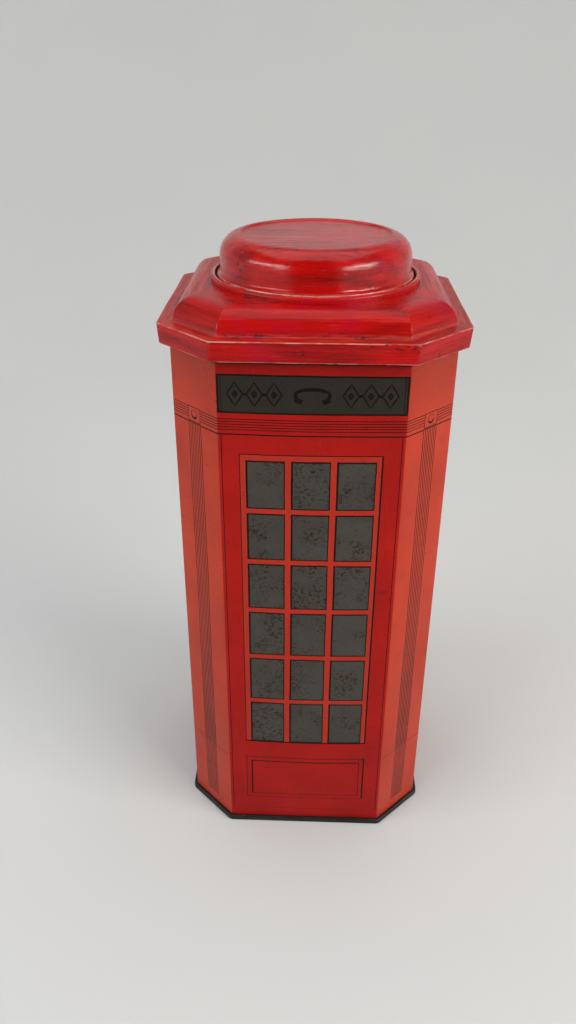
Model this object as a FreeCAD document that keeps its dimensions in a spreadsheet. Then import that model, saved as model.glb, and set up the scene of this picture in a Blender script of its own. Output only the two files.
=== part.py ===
"""Telephone-kiosk tin: an octagonal tinplate box with a lift-off roof lid and a round slip cap.

Every piece is bent or pressed from one gauge of tinplate, apart from the wire in the mouth's curl.
Axes: +Z up, the tin's front faces -Y. Origin: centre of the folded rim that the tin stands on.
An octagon here is an offset of the body's outside: its four flats and its four corner cuts all
stand the same distance out from the body's own faces, and its bends grow by the same amount.
"""
import FreeCAD, Part
import math
import os
import Sketcher

SIZES = {
    # tinplate and the body's section
    "sheet": 0.3,
    "across_flats": 70.0,
    "across_chamfers": 81.5,
    "bend_radius": 1.5,
    "mouth_height": 154.7,
    # curl round the mouth, and the wire in it
    "curl_width": 0.9,
    "curl_height": 1.3,
    "curl_rounding": 0.4,
    "wire_slack": 0.02,
    # lap seams that join the two halves of the body
    "seam_setback": 3.0,
    "lap_width": 3.0,
    "lap_joggle": 1.0,
    "lap_end_gap": 0.4,
    # base pan, folded up round the body's flange
    "flange_width": 0.6,
    "rim_width": 1.0,
    "rim_height": 1.8,
    "rim_rounding": 0.5,
    "countersink": 2.2,
    "panel_margin": 7.0,
    "panel_rise": 0.6,
    # skirt band of the roof lid
    "overhang": 2.4,
    "band_height": 4.8,
    "hem_height": 1.5,
    "hem_rounding": 0.25,
    # roof panel, its edge folded over the band's flange
    "fold_width": 0.4,
    "notch_radius": 1.3,
    "ledge_width": 3.8,
    "dome_height": 5.6,
    "dome_rounding": 5.5,
    # neck ring, seamed round the hole in the roof
    "bead_radius": 26.9,
    "bead_width": 1.4,
    "bead_height": 1.6,
    "upstand_height": 1.0,
    "foot_lift": 0.3,
    "neck_radius": 23.85,
    "neck_end_gap": 0.3,
    # round slip cap
    "slip_gap": 0.3,
    "seat_gap": 0.1,
    "cap_height": 10.3,
    "cap_curl_radius": 0.55,
    "crown_radius": 5.0,
    "crown_step": 0.5,
    "crown_recess": 0.4,
}

FACES = 8
FACE_ANGLE = 360.0 / FACES
TOLERANCE = 1e-4
UP = FreeCAD.Vector(0, 0, 1)

document = FreeCAD.newDocument("kiosk_tin")


class Length:
    """A length worked out from the sheet: its number draws a sketch, its text binds it."""

    def __init__(self, value, text):
        self.value = value
        self.text = text

    def __add__(self, other):
        return Length(self.value + other.value, f"({self.text} + {other.text})")

    def __sub__(self, other):
        return Length(self.value - other.value, f"({self.text} - {other.text})")

    def __mul__(self, factor):
        return Length(self.value * factor, f"{self.text} * {factor!r}")

    def __neg__(self):
        return Length(-self.value, f"-{self.text}")


NONE = Length(0.0, "0")


def write_sheet():
    """The driving dimensions, one alias per row, and each as a Length."""
    sheet = document.addObject("Spreadsheet::Sheet", "Sizes")
    lengths = {}
    for row, (name, value) in enumerate(SIZES.items(), start=1):
        sheet.set(f"A{row}", name)
        sheet.set(f"B{row}", str(value))
        sheet.setAlias(f"B{row}", name)
        lengths[name] = Length(value, f"Sizes.{name}")
    document.recompute()
    return lengths


size = write_sheet()
sheet = size["sheet"]

# distances from the axis to the body's flats and to its corner cuts
flat_distance = size["across_flats"] * 0.5
chamfer_distance = size["across_chamfers"] * 0.5
half_flat = chamfer_distance * math.sqrt(2.0) - flat_distance

# heights of the assembled tin
plateau = size["mouth_height"] + sheet + size["dome_height"]
cap_seat = plateau + size["foot_lift"] + sheet + size["seat_gap"]


# ---------------------------------------------------------------- sketching

def new_body(label, height=NONE):
    """A body whose own zero stands at `height` in the tin."""
    body = document.addObject("PartDesign::Body", label)
    body.Label = label
    body.setExpression("Placement.Base.z", height.text)
    return body


def new_sketch(body, plane, name, height=NONE):
    """A sketch on one of the body's origin planes, lifted by `height`."""
    sketch = body.newObject("Sketcher::SketchObject", name)
    support = next(item for item in body.Origin.OriginFeatures if item.Role == plane)
    sketch.AttachmentSupport = [(support, "")]
    sketch.MapMode = "FlatFace"
    if height is not NONE:
        sketch.setExpression("AttachmentOffset.Base.z", height.text)
    return sketch


def bind(sketch, kind, *where, length):
    """A dimension of a sketch, bound to the sheet."""
    index = sketch.addConstraint(Sketcher.Constraint(kind, *where, length.value))
    sketch.setExpression(f"Constraints[{index}]", length.text)


def pin(sketch, edge, end, x, y):
    """Hold one end of an edge at a place, measured from the sketch's origin."""
    for kind, place in (("DistanceX", x), ("DistanceY", y)):
        if place.value < 0:
            bind(sketch, kind, edge, end, -1, 1, length=-place)
        else:
            bind(sketch, kind, -1, 1, edge, end, length=place)


class Outline:
    """A closed outline drawn from point to point, each point held by the sheet."""

    def __init__(self, sketch, x, y):
        self.sketch = sketch
        self.begin = (x, y)
        self.here = (x, y)
        self.first_end = None
        self.last_end = None

    def _join(self, edge, begin_end, far_end):
        if self.last_end is None:
            self.first_end = (edge, begin_end)
            pin(self.sketch, edge, begin_end, *self.begin)
        else:
            self.sketch.addConstraint(Sketcher.Constraint("Coincident", *self.last_end, edge, begin_end))
        self.last_end = (edge, far_end)

    def _vector(self, place):
        return FreeCAD.Vector(place[0].value, place[1].value, 0)

    def line(self, x, y):
        """A straight edge to (x, y)."""
        segment = Part.LineSegment(self._vector(self.here), self._vector((x, y)))
        edge = self.sketch.addGeometry(segment, False)
        self._join(edge, 1, 2)
        pin(self.sketch, edge, 2, x, y)
        self.here = (x, y)

    def arc(self, centre, radius, start, end):
        """An arc about `centre` from one angle to another, in degrees; start > end is clockwise."""
        circle = Part.Circle(self._vector(centre), UP, radius.value)
        low, high = sorted((math.radians(start), math.radians(end)))
        edge = self.sketch.addGeometry(Part.ArcOfCircle(circle, low, high), False)
        near, far = (1, 2) if start < end else (2, 1)
        self._join(edge, near, far)
        x = centre[0] + radius * math.cos(math.radians(end))
        y = centre[1] + radius * math.sin(math.radians(end))
        pin(self.sketch, edge, far, x, y)
        bind(self.sketch, "Radius", edge, length=radius)
        self.here = (x, y)

    def close(self):
        """A straight edge back to the first point."""
        segment = Part.LineSegment(self._vector(self.here), self._vector(self.begin))
        edge = self.sketch.addGeometry(segment, False)
        self.sketch.addConstraint(Sketcher.Constraint("Coincident", *self.last_end, edge, 1))
        self.sketch.addConstraint(Sketcher.Constraint("Coincident", edge, 2, *self.first_end))


def face_distance(face, offset):
    """How far a face of the octagon lies from the axis: flats are even, corner cuts are odd."""
    return (flat_distance if face % 2 == 0 else chamfer_distance) + offset


def octagon_corners(offset):
    """The octagon's sharp corners, anticlockwise, from the right end of the front flat."""
    corners = []
    for face in range(FACES):
        normal = math.radians(face * FACE_ANGLE - 90.0)
        turn = math.radians(FACE_ANGLE)
        near = face_distance(face, offset).value
        far = face_distance(face + 1, offset).value
        along = (far - near * math.cos(turn)) / math.sin(turn)
        out = FreeCAD.Vector(math.cos(normal), math.sin(normal), 0)
        side = FreeCAD.Vector(-math.sin(normal), math.cos(normal), 0)
        corners.append(out * near + side * along)
    return corners


def octagon(sketch, offset, sharp=False):
    """An octagon that stands `offset` outside the body's faces, with bent or sharp corners."""
    corners = octagon_corners(offset)
    bend = size["bend_radius"] + offset
    trim = 0.0 if sharp else bend.value * math.tan(math.radians(FACE_ANGLE / 2))
    sides = []
    for face in range(FACES):
        begin, end = corners[face - 1], corners[face]
        along = (end - begin).normalize()
        segment = Part.LineSegment(begin + along * trim, end - along * trim)
        sides.append(sketch.addGeometry(segment, False))
        direction = math.radians(face * FACE_ANGLE)
        if face % 4 == 0:
            sketch.addConstraint(Sketcher.Constraint("Horizontal", sides[face]))
        elif face % 4 == 2:
            sketch.addConstraint(Sketcher.Constraint("Vertical", sides[face]))
        else:
            sketch.addConstraint(Sketcher.Constraint("Angle", sides[face], direction))
        bind(sketch, "Distance", -1, 1, sides[face], length=face_distance(face, offset))
    if sharp:
        for face in range(FACES):
            meet = Sketcher.Constraint("Coincident", sides[face], 2, sides[(face + 1) % FACES], 1)
            sketch.addConstraint(meet)
        return
    bends = []
    for face in range(FACES):
        normal = math.radians(face * FACE_ANGLE - 90.0)
        out = FreeCAD.Vector(math.cos(normal), math.sin(normal), 0)
        centre = sketch.Geometry[sides[face]].EndPoint - out * bend.value
        circle = Part.Circle(centre, UP, bend.value)
        arc = Part.ArcOfCircle(circle, normal, normal + math.radians(FACE_ANGLE))
        bends.append(sketch.addGeometry(arc, False))
        sketch.addConstraint(Sketcher.Constraint("Tangent", sides[face], 2, bends[face], 1))
        following = sides[(face + 1) % FACES]
        sketch.addConstraint(Sketcher.Constraint("Tangent", bends[face], 2, following, 1))
        if face == 0:
            bind(sketch, "Radius", bends[0], length=bend)
        else:
            sketch.addConstraint(Sketcher.Constraint("Equal", bends[0], bends[face]))


def circle(sketch, radius):
    """A circle about the axis."""
    edge = sketch.addGeometry(Part.Circle(FreeCAD.Vector(0, 0, 0), UP, radius.value), False)
    sketch.addConstraint(Sketcher.Constraint("Coincident", edge, 3, -1, 1))
    bind(sketch, "Radius", edge, length=radius)


# ---------------------------------------------------------------- features

def pad(body, name, sketch, height):
    """Raise a sketch by a height."""
    feature = body.newObject("PartDesign::Pad", name)
    feature.Profile = sketch
    feature.setExpression("Length", height.text)
    body.Tip = feature
    return feature


def ring(body, name, inner, outer, low, high):
    """An octagonal band between two offsets and two heights."""
    sketch = new_sketch(body, "XY_Plane", f"{name}_outline", low)
    octagon(sketch, outer)
    octagon(sketch, inner)
    return pad(body, name, sketch, high - low)


def cut(body, name, sketch, depth):
    """Cut a sketch upwards by a depth, and make sure that it removed something."""
    before = body.Tip
    document.recompute()
    volume = before.Shape.Volume
    feature = body.newObject("PartDesign::Pocket", name)
    feature.Profile = sketch
    feature.Reversed = True
    feature.setExpression("Length", depth.text)
    body.Tip = feature
    document.recompute()
    if not feature.Shape.Volume < volume - TOLERANCE:
        raise RuntimeError(f"{name} cut nothing")
    return feature


def turn(body, name, sketch):
    """Turn a section round the body's own upright axis."""
    feature = body.newObject("PartDesign::Revolution", name)
    feature.Profile = sketch
    feature.ReferenceAxis = (sketch, ["V_Axis"])
    feature.Angle = 360.0
    body.Tip = feature
    return feature


def stands_out(point):
    """How far a point lies outside the body's faces."""
    across, along = abs(point.x), abs(point.y)
    flat = max(across, along) - flat_distance.value
    chamfer = (across + along) / math.sqrt(2.0) - chamfer_distance.value
    return max(flat, chamfer)


def outline_edges(shape, offset, height):
    """Names of the edges that follow one octagon at one height."""
    names = []
    for number, edge in enumerate(shape.Edges, start=1):
        ends = [vertex.Point for vertex in edge.Vertexes]
        level = all(abs(point.z - height.value) < TOLERANCE for point in ends)
        follows = all(abs(stands_out(point) - offset.value) < TOLERANCE for point in ends)
        if level and follows:
            names.append(f"Edge{number}")
    return names


def round_edges(body, name, outlines, radius):
    """Round every edge of the (offset, height) outlines given."""
    document.recompute()
    base = body.Tip
    names = []
    for offset, height in outlines:
        found = outline_edges(base.Shape, offset, height)
        if not found:
            raise RuntimeError(f"{name} found no edge")
        names += found
    feature = body.newObject("PartDesign::Fillet", name)
    feature.Base = (base, names)
    feature.setExpression("Radius", radius.text)
    body.Tip = feature
    document.recompute()
    return feature


# ---------------------------------------------------------------- body

seam_line = half_flat - size["seam_setback"]


def body_section(label):
    """The whole body before it is parted: wall, flange at the foot, curl at the mouth."""
    body = new_body(label)
    top = size["mouth_height"]
    ring(body, f"{label}_wall", -sheet, NONE, sheet, top)
    ring(body, f"{label}_flange", -sheet, size["flange_width"], sheet, sheet * 2)
    ring(body, f"{label}_curl_top", -sheet, size["curl_width"], top - sheet, top)
    curl_inside = size["curl_width"] - sheet
    ring(body, f"{label}_curl_leg", curl_inside, size["curl_width"], top - size["curl_height"], top)
    round_edges(body, f"{label}_curl_rounding", [(size["curl_width"], top)], size["curl_rounding"])
    return body


def part_off(body, name, far_side):
    """Cut the body away on one side of the lap seams' line."""
    reach = size["across_flats"]
    sketch = new_sketch(body, "XY_Plane", f"{name}_outline")
    edge = seam_line + reach if far_side else seam_line - reach - reach
    corner = Outline(sketch, -reach, seam_line)
    corner.line(reach, seam_line)
    corner.line(reach, edge)
    corner.line(-reach, edge)
    corner.close()
    cut(body, name, sketch, size["mouth_height"] + reach)


def make_body_front():
    """Front blank: front, both front corner cuts and most of each side."""
    body = body_section("body_front")
    part_off(body, "front_blank", far_side=True)


def make_body_rear():
    """Rear blank: back and rear corner cuts, its edges joggled in behind the front blank's."""
    body = body_section("body_rear")
    part_off(body, "rear_blank", far_side=False)
    low = size["countersink"] + sheet + size["lap_end_gap"]
    high = size["mouth_height"] - size["lap_end_gap"]
    outside = flat_distance - sheet
    for name, hand in (("left_lap", -1), ("right_lap", 1)):
        sketch = new_sketch(body, "XY_Plane", f"{name}_outline", low)
        lap = Outline(sketch, outside * hand, seam_line - size["lap_width"])
        lap.line(outside * hand, seam_line + size["lap_joggle"])
        lap.line((outside - sheet) * hand, seam_line + size["lap_joggle"])
        lap.line((outside - sheet) * hand, seam_line - size["lap_width"])
        lap.close()
        pad(body, name, sketch, high - low)


def make_mouth_wire():
    """Wire that stiffens the mouth, inside the body's curl."""
    channel_middle = (size["curl_width"] - sheet) * 0.5
    radius = channel_middle - size["wire_slack"]
    body = new_body("mouth_wire", size["mouth_height"] - sheet - channel_middle)
    path = new_sketch(body, "XY_Plane", "wire_path")
    octagon(path, channel_middle)
    section = new_sketch(body, "YZ_Plane", "wire_section")
    middle = -(flat_distance + channel_middle)
    centre = FreeCAD.Vector(middle.value, 0, 0)
    edge = section.addGeometry(Part.Circle(centre, UP, radius.value), False)
    pin(section, edge, 3, middle, NONE)
    bind(section, "Radius", edge, length=radius)
    wire = body.newObject("PartDesign::AdditivePipe", "wire")
    wire.Profile = section
    wire.Spine = path
    body.Tip = wire


def make_base_pan():
    """Base: a stiffened panel, countersunk, its edge folded up round the body's flange."""
    body = new_body("base_pan")
    rim = size["rim_width"]
    panel_top = size["countersink"] + sheet
    panel = new_sketch(body, "XY_Plane", "panel_outline", size["countersink"])
    octagon(panel, -sheet)
    pad(body, "panel", panel, sheet)
    ring(body, "chuck_wall", -(sheet * 2), -sheet, NONE, panel_top)
    ring(body, "standing_edge", -(sheet * 2), rim, NONE, sheet)
    ring(body, "rim_leg", rim - sheet, rim, NONE, size["rim_height"])
    ring(body, "rim_hook", NONE, rim, size["rim_height"] - sheet, size["rim_height"])
    raised = new_sketch(body, "XY_Plane", "raised_outline", panel_top)
    octagon(raised, -size["panel_margin"], sharp=True)
    pad(body, "raised_panel", raised, size["panel_rise"])
    hollow = new_sketch(body, "XY_Plane", "hollow_outline", size["countersink"])
    octagon(hollow, -(size["panel_margin"] + sheet), sharp=True)
    cut(body, "panel_hollow", hollow, size["panel_rise"])
    outlines = [(rim, NONE), (rim, size["rim_height"])]
    round_edges(body, "rim_rounding", outlines, size["rim_rounding"])


# ---------------------------------------------------------------- roof lid

fold_out = size["overhang"] + size["fold_width"]
dome_foot = fold_out - size["ledge_width"]


def make_lid_band():
    """Skirt of the lid: a strip with a flange at its top and a hem turned in at its foot."""
    body = new_body("lid_band", size["mouth_height"] - size["band_height"])
    outside = size["overhang"]
    top = size["band_height"]
    ring(body, "band", outside - sheet, outside, NONE, top)
    ring(body, "band_flange", outside - sheet, fold_out - sheet, top - sheet, top)
    ring(body, "band_hem", outside - sheet * 2, outside - sheet, NONE, size["hem_height"])
    outlines = [(outside, NONE), (outside - sheet * 2, NONE)]
    round_edges(body, "hem_rounding", outlines, size["hem_rounding"])


def notch_corners(body):
    """Open the fold at the eight corners, where the sheet is snipped so that it can turn."""
    sketch = new_sketch(body, "XY_Plane", "notch_outline", -(sheet * 2))
    across = flat_distance + fold_out
    along = half_flat + fold_out * math.tan(math.radians(FACE_ANGLE / 2))
    for x, y in ((across, along), (along, across)):
        for hand_x in (1, -1):
            for hand_y in (1, -1):
                place = FreeCAD.Vector(x.value * hand_x, y.value * hand_y, 0)
                hole = Part.Circle(place, UP, size["notch_radius"].value)
                edge = sketch.addGeometry(hole, False)
                pin(sketch, edge, 3, x * hand_x, y * hand_y)
                bind(sketch, "Radius", edge, length=size["notch_radius"])
    cut(body, "notches", sketch, sheet * 2)


def make_lid_panel():
    """Roof: ledge folded over the band's flange, eight-sided dome, hole with an upstand."""
    body = new_body("lid_panel", size["mouth_height"])
    ledge = new_sketch(body, "XY_Plane", "ledge_outline")
    octagon(ledge, fold_out)
    pad(body, "ledge", ledge, sheet)
    ring(body, "fold_leg", fold_out - sheet, fold_out, -(sheet * 2), NONE)
    ring(body, "fold_hook", size["overhang"], fold_out, -(sheet * 2), -sheet)
    notch_corners(body)
    top = sheet + size["dome_height"]
    dome = new_sketch(body, "XY_Plane", "dome_outline", sheet)
    octagon(dome, dome_foot, sharp=True)
    pad(body, "dome", dome, size["dome_height"])
    inside = new_sketch(body, "XY_Plane", "inside_outline")
    octagon(inside, dome_foot - sheet, sharp=True)
    cut(body, "dome_inside", inside, top - sheet)
    inner_rounding = size["dome_rounding"] - sheet
    round_edges(body, "inside_rounding", [(dome_foot - sheet, top - sheet)], inner_rounding)
    round_edges(body, "dome_rounding", [(dome_foot, top)], size["dome_rounding"])
    hole_radius = size["bead_radius"] - size["bead_width"] * 0.5 - sheet * 0.5
    hole = new_sketch(body, "XY_Plane", "hole_outline", size["dome_height"] * 0.5)
    circle(hole, hole_radius)
    cut(body, "neck_hole", hole, size["dome_height"])
    upstand = new_sketch(body, "XY_Plane", "upstand_outline", top - sheet)
    circle(upstand, hole_radius)
    circle(upstand, hole_radius + sheet)
    pad(body, "upstand", upstand, sheet + size["upstand_height"])


def make_neck_ring():
    """Neck that the cap slips over: its foot is folded over the roof's upstand as a round bead."""
    body = new_body("neck_ring", plateau)
    section = new_sketch(body, "XZ_Plane", "neck_section")
    bead_half = size["bead_width"] * 0.5
    middle = (size["bead_radius"] - bead_half, size["bead_height"] - bead_half)
    flange_low = size["foot_lift"]
    flange_top = flange_low + sheet
    crown_start = flange_top + size["seat_gap"] + size["cap_height"] - size["crown_radius"]
    neck_top = crown_start - size["neck_end_gap"]
    neck_inside = size["neck_radius"] - sheet
    neck = Outline(section, neck_inside, flange_low)
    neck.line(middle[0] - bead_half + sheet, flange_low)
    neck.line(middle[0] - bead_half + sheet, middle[1])
    neck.arc(middle, bead_half - sheet, 180, 90)
    neck.arc(middle, bead_half - sheet, 90, 0)
    neck.line(middle[0] + bead_half - sheet, NONE)
    neck.line(middle[0] + bead_half, NONE)
    neck.line(middle[0] + bead_half, middle[1])
    neck.arc(middle, bead_half, 0, 90)
    neck.arc(middle, bead_half, 90, 180)
    neck.line(middle[0] - bead_half, flange_top)
    neck.line(size["neck_radius"], flange_top)
    neck.line(size["neck_radius"], neck_top)
    neck.line(neck_inside, neck_top)
    neck.close()
    turn(body, "neck", section)


def make_drum_cap():
    """Round slip cap: rolled rim, upright wall, rounded crown and a flat top set slightly down."""
    body = new_body("drum_cap", cap_seat)
    section = new_sketch(body, "XZ_Plane", "cap_section")
    wall_inside = size["neck_radius"] + size["slip_gap"]
    wall_outside = wall_inside + sheet
    curl = size["cap_curl_radius"]
    curl_middle = (wall_inside + curl, curl)
    top = size["cap_height"]
    crown = size["crown_radius"]
    crown_middle = (wall_outside - crown, top - crown)
    flat_top = top - size["crown_recess"]
    flat_radius = crown_middle[0] - size["crown_step"]
    curl_turns = (180, 270, 360, 450, 470)
    cap = Outline(section, wall_inside, curl)
    for start, end in zip(curl_turns, curl_turns[1:]):
        cap.arc(curl_middle, curl, start, end)
    lip = math.radians(curl_turns[-1])
    inner_curl = curl - sheet
    cap.line(curl_middle[0] + inner_curl * math.cos(lip), curl_middle[1] + inner_curl * math.sin(lip))
    backwards = curl_turns[::-1]
    for start, end in zip(backwards, backwards[1:]):
        cap.arc(curl_middle, inner_curl, start, end)
    cap.line(wall_outside, crown_middle[1])
    cap.arc(crown_middle, crown, 0, 90)
    cap.line(flat_radius, flat_top)
    cap.line(NONE, flat_top)
    cap.line(NONE, flat_top - sheet)
    cap.line(flat_radius, flat_top - sheet)
    cap.line(crown_middle[0], top - sheet)
    cap.arc(crown_middle, crown - sheet, 90, 0)
    cap.close()
    turn(body, "cap", section)


# ---------------------------------------------------------------- build and write

make_body_front()
make_body_rear()
make_mouth_wire()
make_base_pan()
make_lid_band()
make_lid_panel()
make_neck_ring()
make_drum_cap()
document.recompute()

failed = [item.Name for item in document.Objects if {"Invalid", "Error"} & set(item.State)]
if failed:
    raise RuntimeError(f"failed objects: {failed}")

pieces = [item for item in document.Objects if item.TypeId == "PartDesign::Body"]
for piece in pieces:
    if piece.Shape.isNull() or not piece.Shape.isValid() or len(piece.Shape.Solids) != 1:
        raise RuntimeError(f"{piece.Label} is not one valid solid")

os.makedirs("parts", exist_ok=True)
for piece in pieces:
    piece.Shape.exportStep(f"parts/{piece.Label}.step")
    box = piece.Shape.BoundBox
    print(f"{piece.Label}: {piece.Shape.Volume:.1f} mm3, z {box.ZMin:.2f} to {box.ZMax:.2f}")
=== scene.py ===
"""Telephone-kiosk tin: printed body, hand-painted roof lid and round slip cap, built round the CAD frame.

Every part of the tin is bent or pressed from one sheet, so every part is made in one way: the closed outline
of its section, a list of Spots, is carried along upright Columns that stand round an eight-sided or a round
path. Lengths are in metres, +Z is up, and the tin's front faces -Y. Faces are counted from the front,
anticlockwise seen from above: flats are even and corner cuts are odd.
"""
import math
from typing import NamedTuple

import bmesh
import bpy
from bpy.props import FloatProperty, FloatVectorProperty, IntProperty, PointerProperty
from bpy.types import Operator, Panel, PropertyGroup
from mathutils import Matrix, Vector, noise


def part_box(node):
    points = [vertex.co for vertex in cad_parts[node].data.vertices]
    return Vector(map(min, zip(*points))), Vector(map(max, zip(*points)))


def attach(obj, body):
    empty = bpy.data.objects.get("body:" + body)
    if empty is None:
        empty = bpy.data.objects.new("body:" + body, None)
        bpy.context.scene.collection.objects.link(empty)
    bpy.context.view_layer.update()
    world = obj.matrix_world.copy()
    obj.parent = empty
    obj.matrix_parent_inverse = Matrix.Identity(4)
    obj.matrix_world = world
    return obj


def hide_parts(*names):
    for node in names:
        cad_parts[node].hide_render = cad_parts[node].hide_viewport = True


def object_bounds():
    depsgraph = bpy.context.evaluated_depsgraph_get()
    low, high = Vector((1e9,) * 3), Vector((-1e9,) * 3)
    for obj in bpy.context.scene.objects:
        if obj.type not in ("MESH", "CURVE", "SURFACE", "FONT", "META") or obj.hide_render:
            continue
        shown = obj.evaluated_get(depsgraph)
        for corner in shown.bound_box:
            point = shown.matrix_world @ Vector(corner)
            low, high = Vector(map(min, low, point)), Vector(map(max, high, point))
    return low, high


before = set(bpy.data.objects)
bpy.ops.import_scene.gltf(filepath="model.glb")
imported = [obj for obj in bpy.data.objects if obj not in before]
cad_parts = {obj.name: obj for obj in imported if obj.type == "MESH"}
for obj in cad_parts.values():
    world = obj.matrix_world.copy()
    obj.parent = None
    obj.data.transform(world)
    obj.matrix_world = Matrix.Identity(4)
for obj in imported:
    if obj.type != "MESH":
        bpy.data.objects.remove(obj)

bl_info = {
    "name": "Telephone-kiosk tin",
    "version": (1, 0, 0),
    "blender": (4, 5, 0),
    "location": "View3D > Sidebar > Kiosk tin",
    "description": "Builds a printed and hand-painted telephone-kiosk tin round its CAD frame",
    "category": "Object",
}

cad_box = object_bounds()

MM = 0.001
FACES = 8
FACE_TURN = math.tau / FACES
HALF_TURN = FACE_TURN / 2
SHARP_ANGLE = math.radians(38)
NOISE_SEED = 1


def length(name, description, millimetres):
    """A length that the user can change, given here in millimetres."""
    return FloatProperty(
        name=name, description=description, default=millimetres * MM, unit="LENGTH", precision=5
    )


def colour(name, description, red, green, blue):
    """A colour that the user can change."""
    return FloatVectorProperty(
        name=name, description=description, default=(red, green, blue), subtype="COLOR", min=0, max=1
    )


class TinSizes(PropertyGroup):
    """Sizes of the sheet metal that can't be read off the CAD's boxes."""

    sheet: length("Sheet", "Thickness of the tinplate", 0.3)
    bend_radius: length("Bend radius", "Outside radius of the body's upright bends", 1.5)
    flange: length("Flange", "Width of the body's flange inside the foot's fold", 0.6)
    curl_width: length("Curl width", "How far the mouth's curl stands out from the wall", 0.9)
    curl_height: length("Curl height", "Height of the mouth's curl", 1.3)
    seam_setback: length("Seam setback", "From the rear end of each side flat to the lap seam", 3.0)
    seam_gap: length("Seam gap", "Open hairline between the two blanks", 0.06)
    lap_width: length("Lap width", "How far the rear blank reaches in behind the front blank", 3.0)
    flat_bulge: length("Flat bulge", "How far each flat swells out at its middle", 0.9)
    cut_bulge: length("Corner bulge", "How far each corner cut swells out at its middle", 0.15)
    dents: length("Dents", "Depth of the shallow dents from handling", 0.07)
    overhang: length("Overhang", "How far the lid's skirt stands out from the body", 2.4)
    lid_corner: length("Lid corner", "Outside radius of the corners of skirt, fold and ledge", 1.1)
    hem_height: length("Hem height", "Height of the hem turned in at the skirt's foot", 1.5)
    notch_radius: length("Notch radius", "Radius of the snips that open the fold at the corners", 1.3)
    ledge_width: length("Ledge width", "Width of the ledge round the dome", 3.8)
    dome_rounding: length("Dome rounding", "Radius of the dome's shoulder", 5.5)
    ridge_rounding: length("Ridge rounding", "Radius of the dome's ridges, softened by paint", 0.5)
    foot_fillet: length("Foot fillet", "Radius where the dome meets its ledge", 0.5)
    bead_width: length("Bead width", "Width of the bead round the neck", 1.4)
    bead_height: length("Bead height", "Height of the bead round the neck", 1.6)
    neck_radius: length("Neck radius", "Radius of the neck under the cap", 23.85)
    seat_gap: length("Seat gap", "Gap between the cap's rim and the neck's flange", 0.1)
    cap_curl: length("Cap curl", "Radius of the cap's rolled rim", 0.55)
    crown_radius: length("Crown radius", "Radius of the cap's rounded shoulder", 5.0)
    crown_step: length("Crown step", "Width of the slope round the cap's flat top", 0.5)
    crown_recess: length("Crown recess", "How far the cap's flat top lies below its shoulder", 0.4)


class ArtworkSizes(PropertyGroup):
    """Sizes of the printed artwork, measured on the sheet."""

    sign_low: length("Sign foot", "Height of the sign's lower edge", 136.8)
    sign_high: length("Sign top", "Height of the sign's upper edge", 146.5)
    sign_reach: length("Sign reach", "How far the sign runs on round the bends", 0.5)
    frieze: length("Frieze", "Height of the lowest fine frieze line", 132.6)
    frieze_step: length("Frieze step", "Distance between the fine frieze lines", 0.68)
    frieze_count: IntProperty(name="Frieze lines", description="Fine lines in the frieze", default=5, min=1)
    transom: length("Transom", "Height of the heavy line under the frieze", 131.4)
    frame_half: length("Frame half width", "Half the width of the door's frame", 17.55)
    frame_low: length("Frame foot", "Height of the frame's lower edge", 32.9)
    frame_high: length("Frame top", "Height of the frame's upper edge", 126.4)
    pane_width: length("Pane width", "Width of each pane", 9.7)
    bar_width: length("Bar width", "Width of the glazing bars", 1.45)
    pane_top: length("Pane top", "Height of the top pane's upper edge", 124.7)
    pane_pitch: length("Pane pitch", "From the top pane's upper edge to the next one's", 14.7)
    pane_growth: length("Pane growth", "How much each row is taller than the row above it", 0.3)
    pane_columns: IntProperty(name="Pane columns", description="Panes side by side", default=3, min=1)
    pane_rows: IntProperty(name="Pane rows", description="Panes one above the other", default=6, min=1)
    panel_half: length("Panel half width", "Half the width of the lower panel", 17.6)
    panel_low: length("Panel foot", "Height of the lower panel's lower edge", 10.0)
    panel_high: length("Panel top", "Height of the lower panel's upper edge", 26.9)
    panel_moulding: length("Panel moulding", "Width of the moulding round the lower panel", 1.5)
    skirting: length("Skirting", "Height of the faint line above the foot", 5.2)
    reed_pitch: length("Reed pitch", "Distance between the upright lines of a pilaster", 0.7)
    reed_count: IntProperty(name="Reeds", description="Upright lines in each pilaster", default=8, min=1)
    base_line: length("Pilaster base", "Height of the faint line near the pilaster's foot", 26.5)
    line: length("Line", "Width of a fine printed line", 0.21)
    heavy_line: length("Heavy line", "Width of a heavy printed line", 0.45)
    wander: length("Wander", "How far a hand-drawn line wanders", 0.1)
    # Painted shade: the dark band from this height up stands for the shade under the skirt's foot.
    skirt_shade_line: length("Skirt shade line", "Height of the dark line where the skirt's foot rests", 149.0)


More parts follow.
